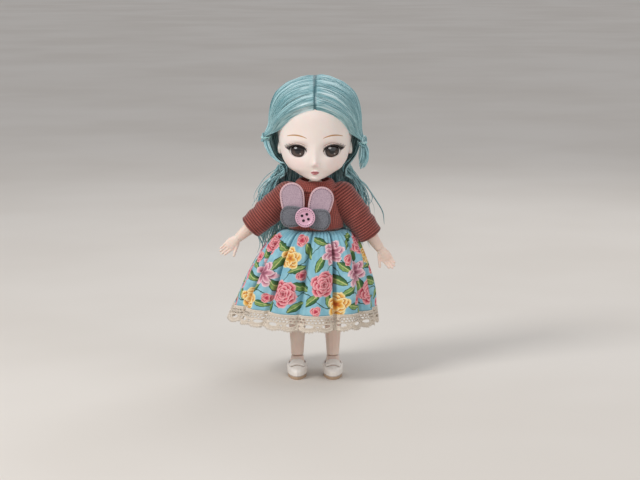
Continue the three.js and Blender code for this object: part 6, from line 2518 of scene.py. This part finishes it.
@dataclass(frozen=True)
class Studio:
    """Camera, lights, floor and background.

    Attributes:
        figure: The doll's landmarks; not used.
        target: What the camera looks at, in the frame's millimetres.
        distance: From the camera to the target.
        elevation: Degrees that the camera looks down.
        lens: Focal length on a 36 mm wide sensor.
    """

    figure: Figure
    target: tuple[float, float, float] = (6.4, 0.0, 73.0)
    distance: float = 980.0
    elevation: float = 9.25
    lens: float = 103.9

    def build(self) -> None:
        """Sets up the stage."""
        self.camera()
        self.lamp("key", (-0.62, -0.45, 0.72), 0.3, 5.2)
        self.lamp("fill", (0.6, -0.5, 0.35), 0.7, 1.2)
        self.lamp("rim", (0.25, 0.55, 0.6), 0.45, 1.2)
        self.floor()
        self.background()
        bpy.context.scene.view_settings.view_transform = "Standard"

    def camera(self) -> None:
        """The camera at the photograph's viewing angle."""
        data = bpy.data.cameras.new("camera")
        data.lens, data.sensor_width = self.lens, 36.0
        data.clip_start, data.clip_end = 0.01, 20.0
        camera = linked("camera", data)
        tilt = math.radians(self.elevation)
        back = Vector((0.0, -math.cos(tilt), math.sin(tilt)))
        camera.location = Vector(self.target) * MM + back * self.distance * MM
        camera.rotation_euler = (math.radians(90 - self.elevation), 0.0, 0.0)
        bpy.context.scene.camera = camera

    def lamp(self, name: str, place: tuple[float, float, float], size: float, power: float) -> None:
        """A square soft light aimed at the doll's middle."""
        data = bpy.data.lights.new(name, "AREA")
        data.size, data.energy = size, power
        lamp = linked(name, data)
        lamp.location = place
        aim = Vector((0.0, 0.0, 0.09)) - lamp.location
        lamp.rotation_euler = aim.to_track_quat("-Z", "Y").to_euler()

    def floor(self) -> None:
        """A pale floor under the doll."""
        plane = added(bpy.ops.mesh.primitive_plane_add, size=60.0, location=(0, 0, 0))
        floor = settle(plane, "floor", None)
        board = MaterialBoard("pale_floor")
        cloud = board.noise(board.object_place, 3.0)
        colour = board.mix(board.step(cloud, 0.3, 0.7), "ded8d0", "d6cfc6")
        floor.data.materials.append(board.finish(Base_Color=colour, Roughness=0.8, Specular_IOR_Level=0.2))

    def background(self) -> None:
        """A plain background for the camera over a soft even sky."""
        world = bpy.data.worlds.new("studio_world")
        world.use_nodes = True
        bpy.context.scene.world = world
        board = Board(world.node_tree)
        board.tree.nodes.clear()
        sky = board.node("Background", {"Color": (0.95, 0.96, 1.0, 1.0), "Strength": 0.55})
        plain = board.node("Background", {"Color": "aaa6a1", "Strength": 1.0})
        path = board.node("LightPath")
        seen = board.math("MAXIMUM", path.outputs["Is Camera Ray"], path.outputs["Is Transmission Ray"])
        mixed = board.node("MixShader", {0: seen, 1: sky.outputs[0], 2: plain.outputs[0]})
        output = board.tree.nodes.new("ShaderNodeOutputWorld")
        board.tree.links.new(mixed.outputs[0], output.inputs["Surface"])


def main() -> None:
    """Builds the doll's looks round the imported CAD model."""
    logging.basicConfig(level=logging.INFO, format="%(name)s: %(message)s")
    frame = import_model()
    figure = Figure.read(frame["joints"])
    Head(figure, HeadForm(figure)).build()
    Hair(figure).build()
    top = KnitTop(figure)
    top.build()
    Skirt(figure).build(top)
    Bow(figure).build(top)
    Limbs(figure, frame["nodes"], top).build()
    Studio(figure).build()


if __name__ == "__main__":
    main()
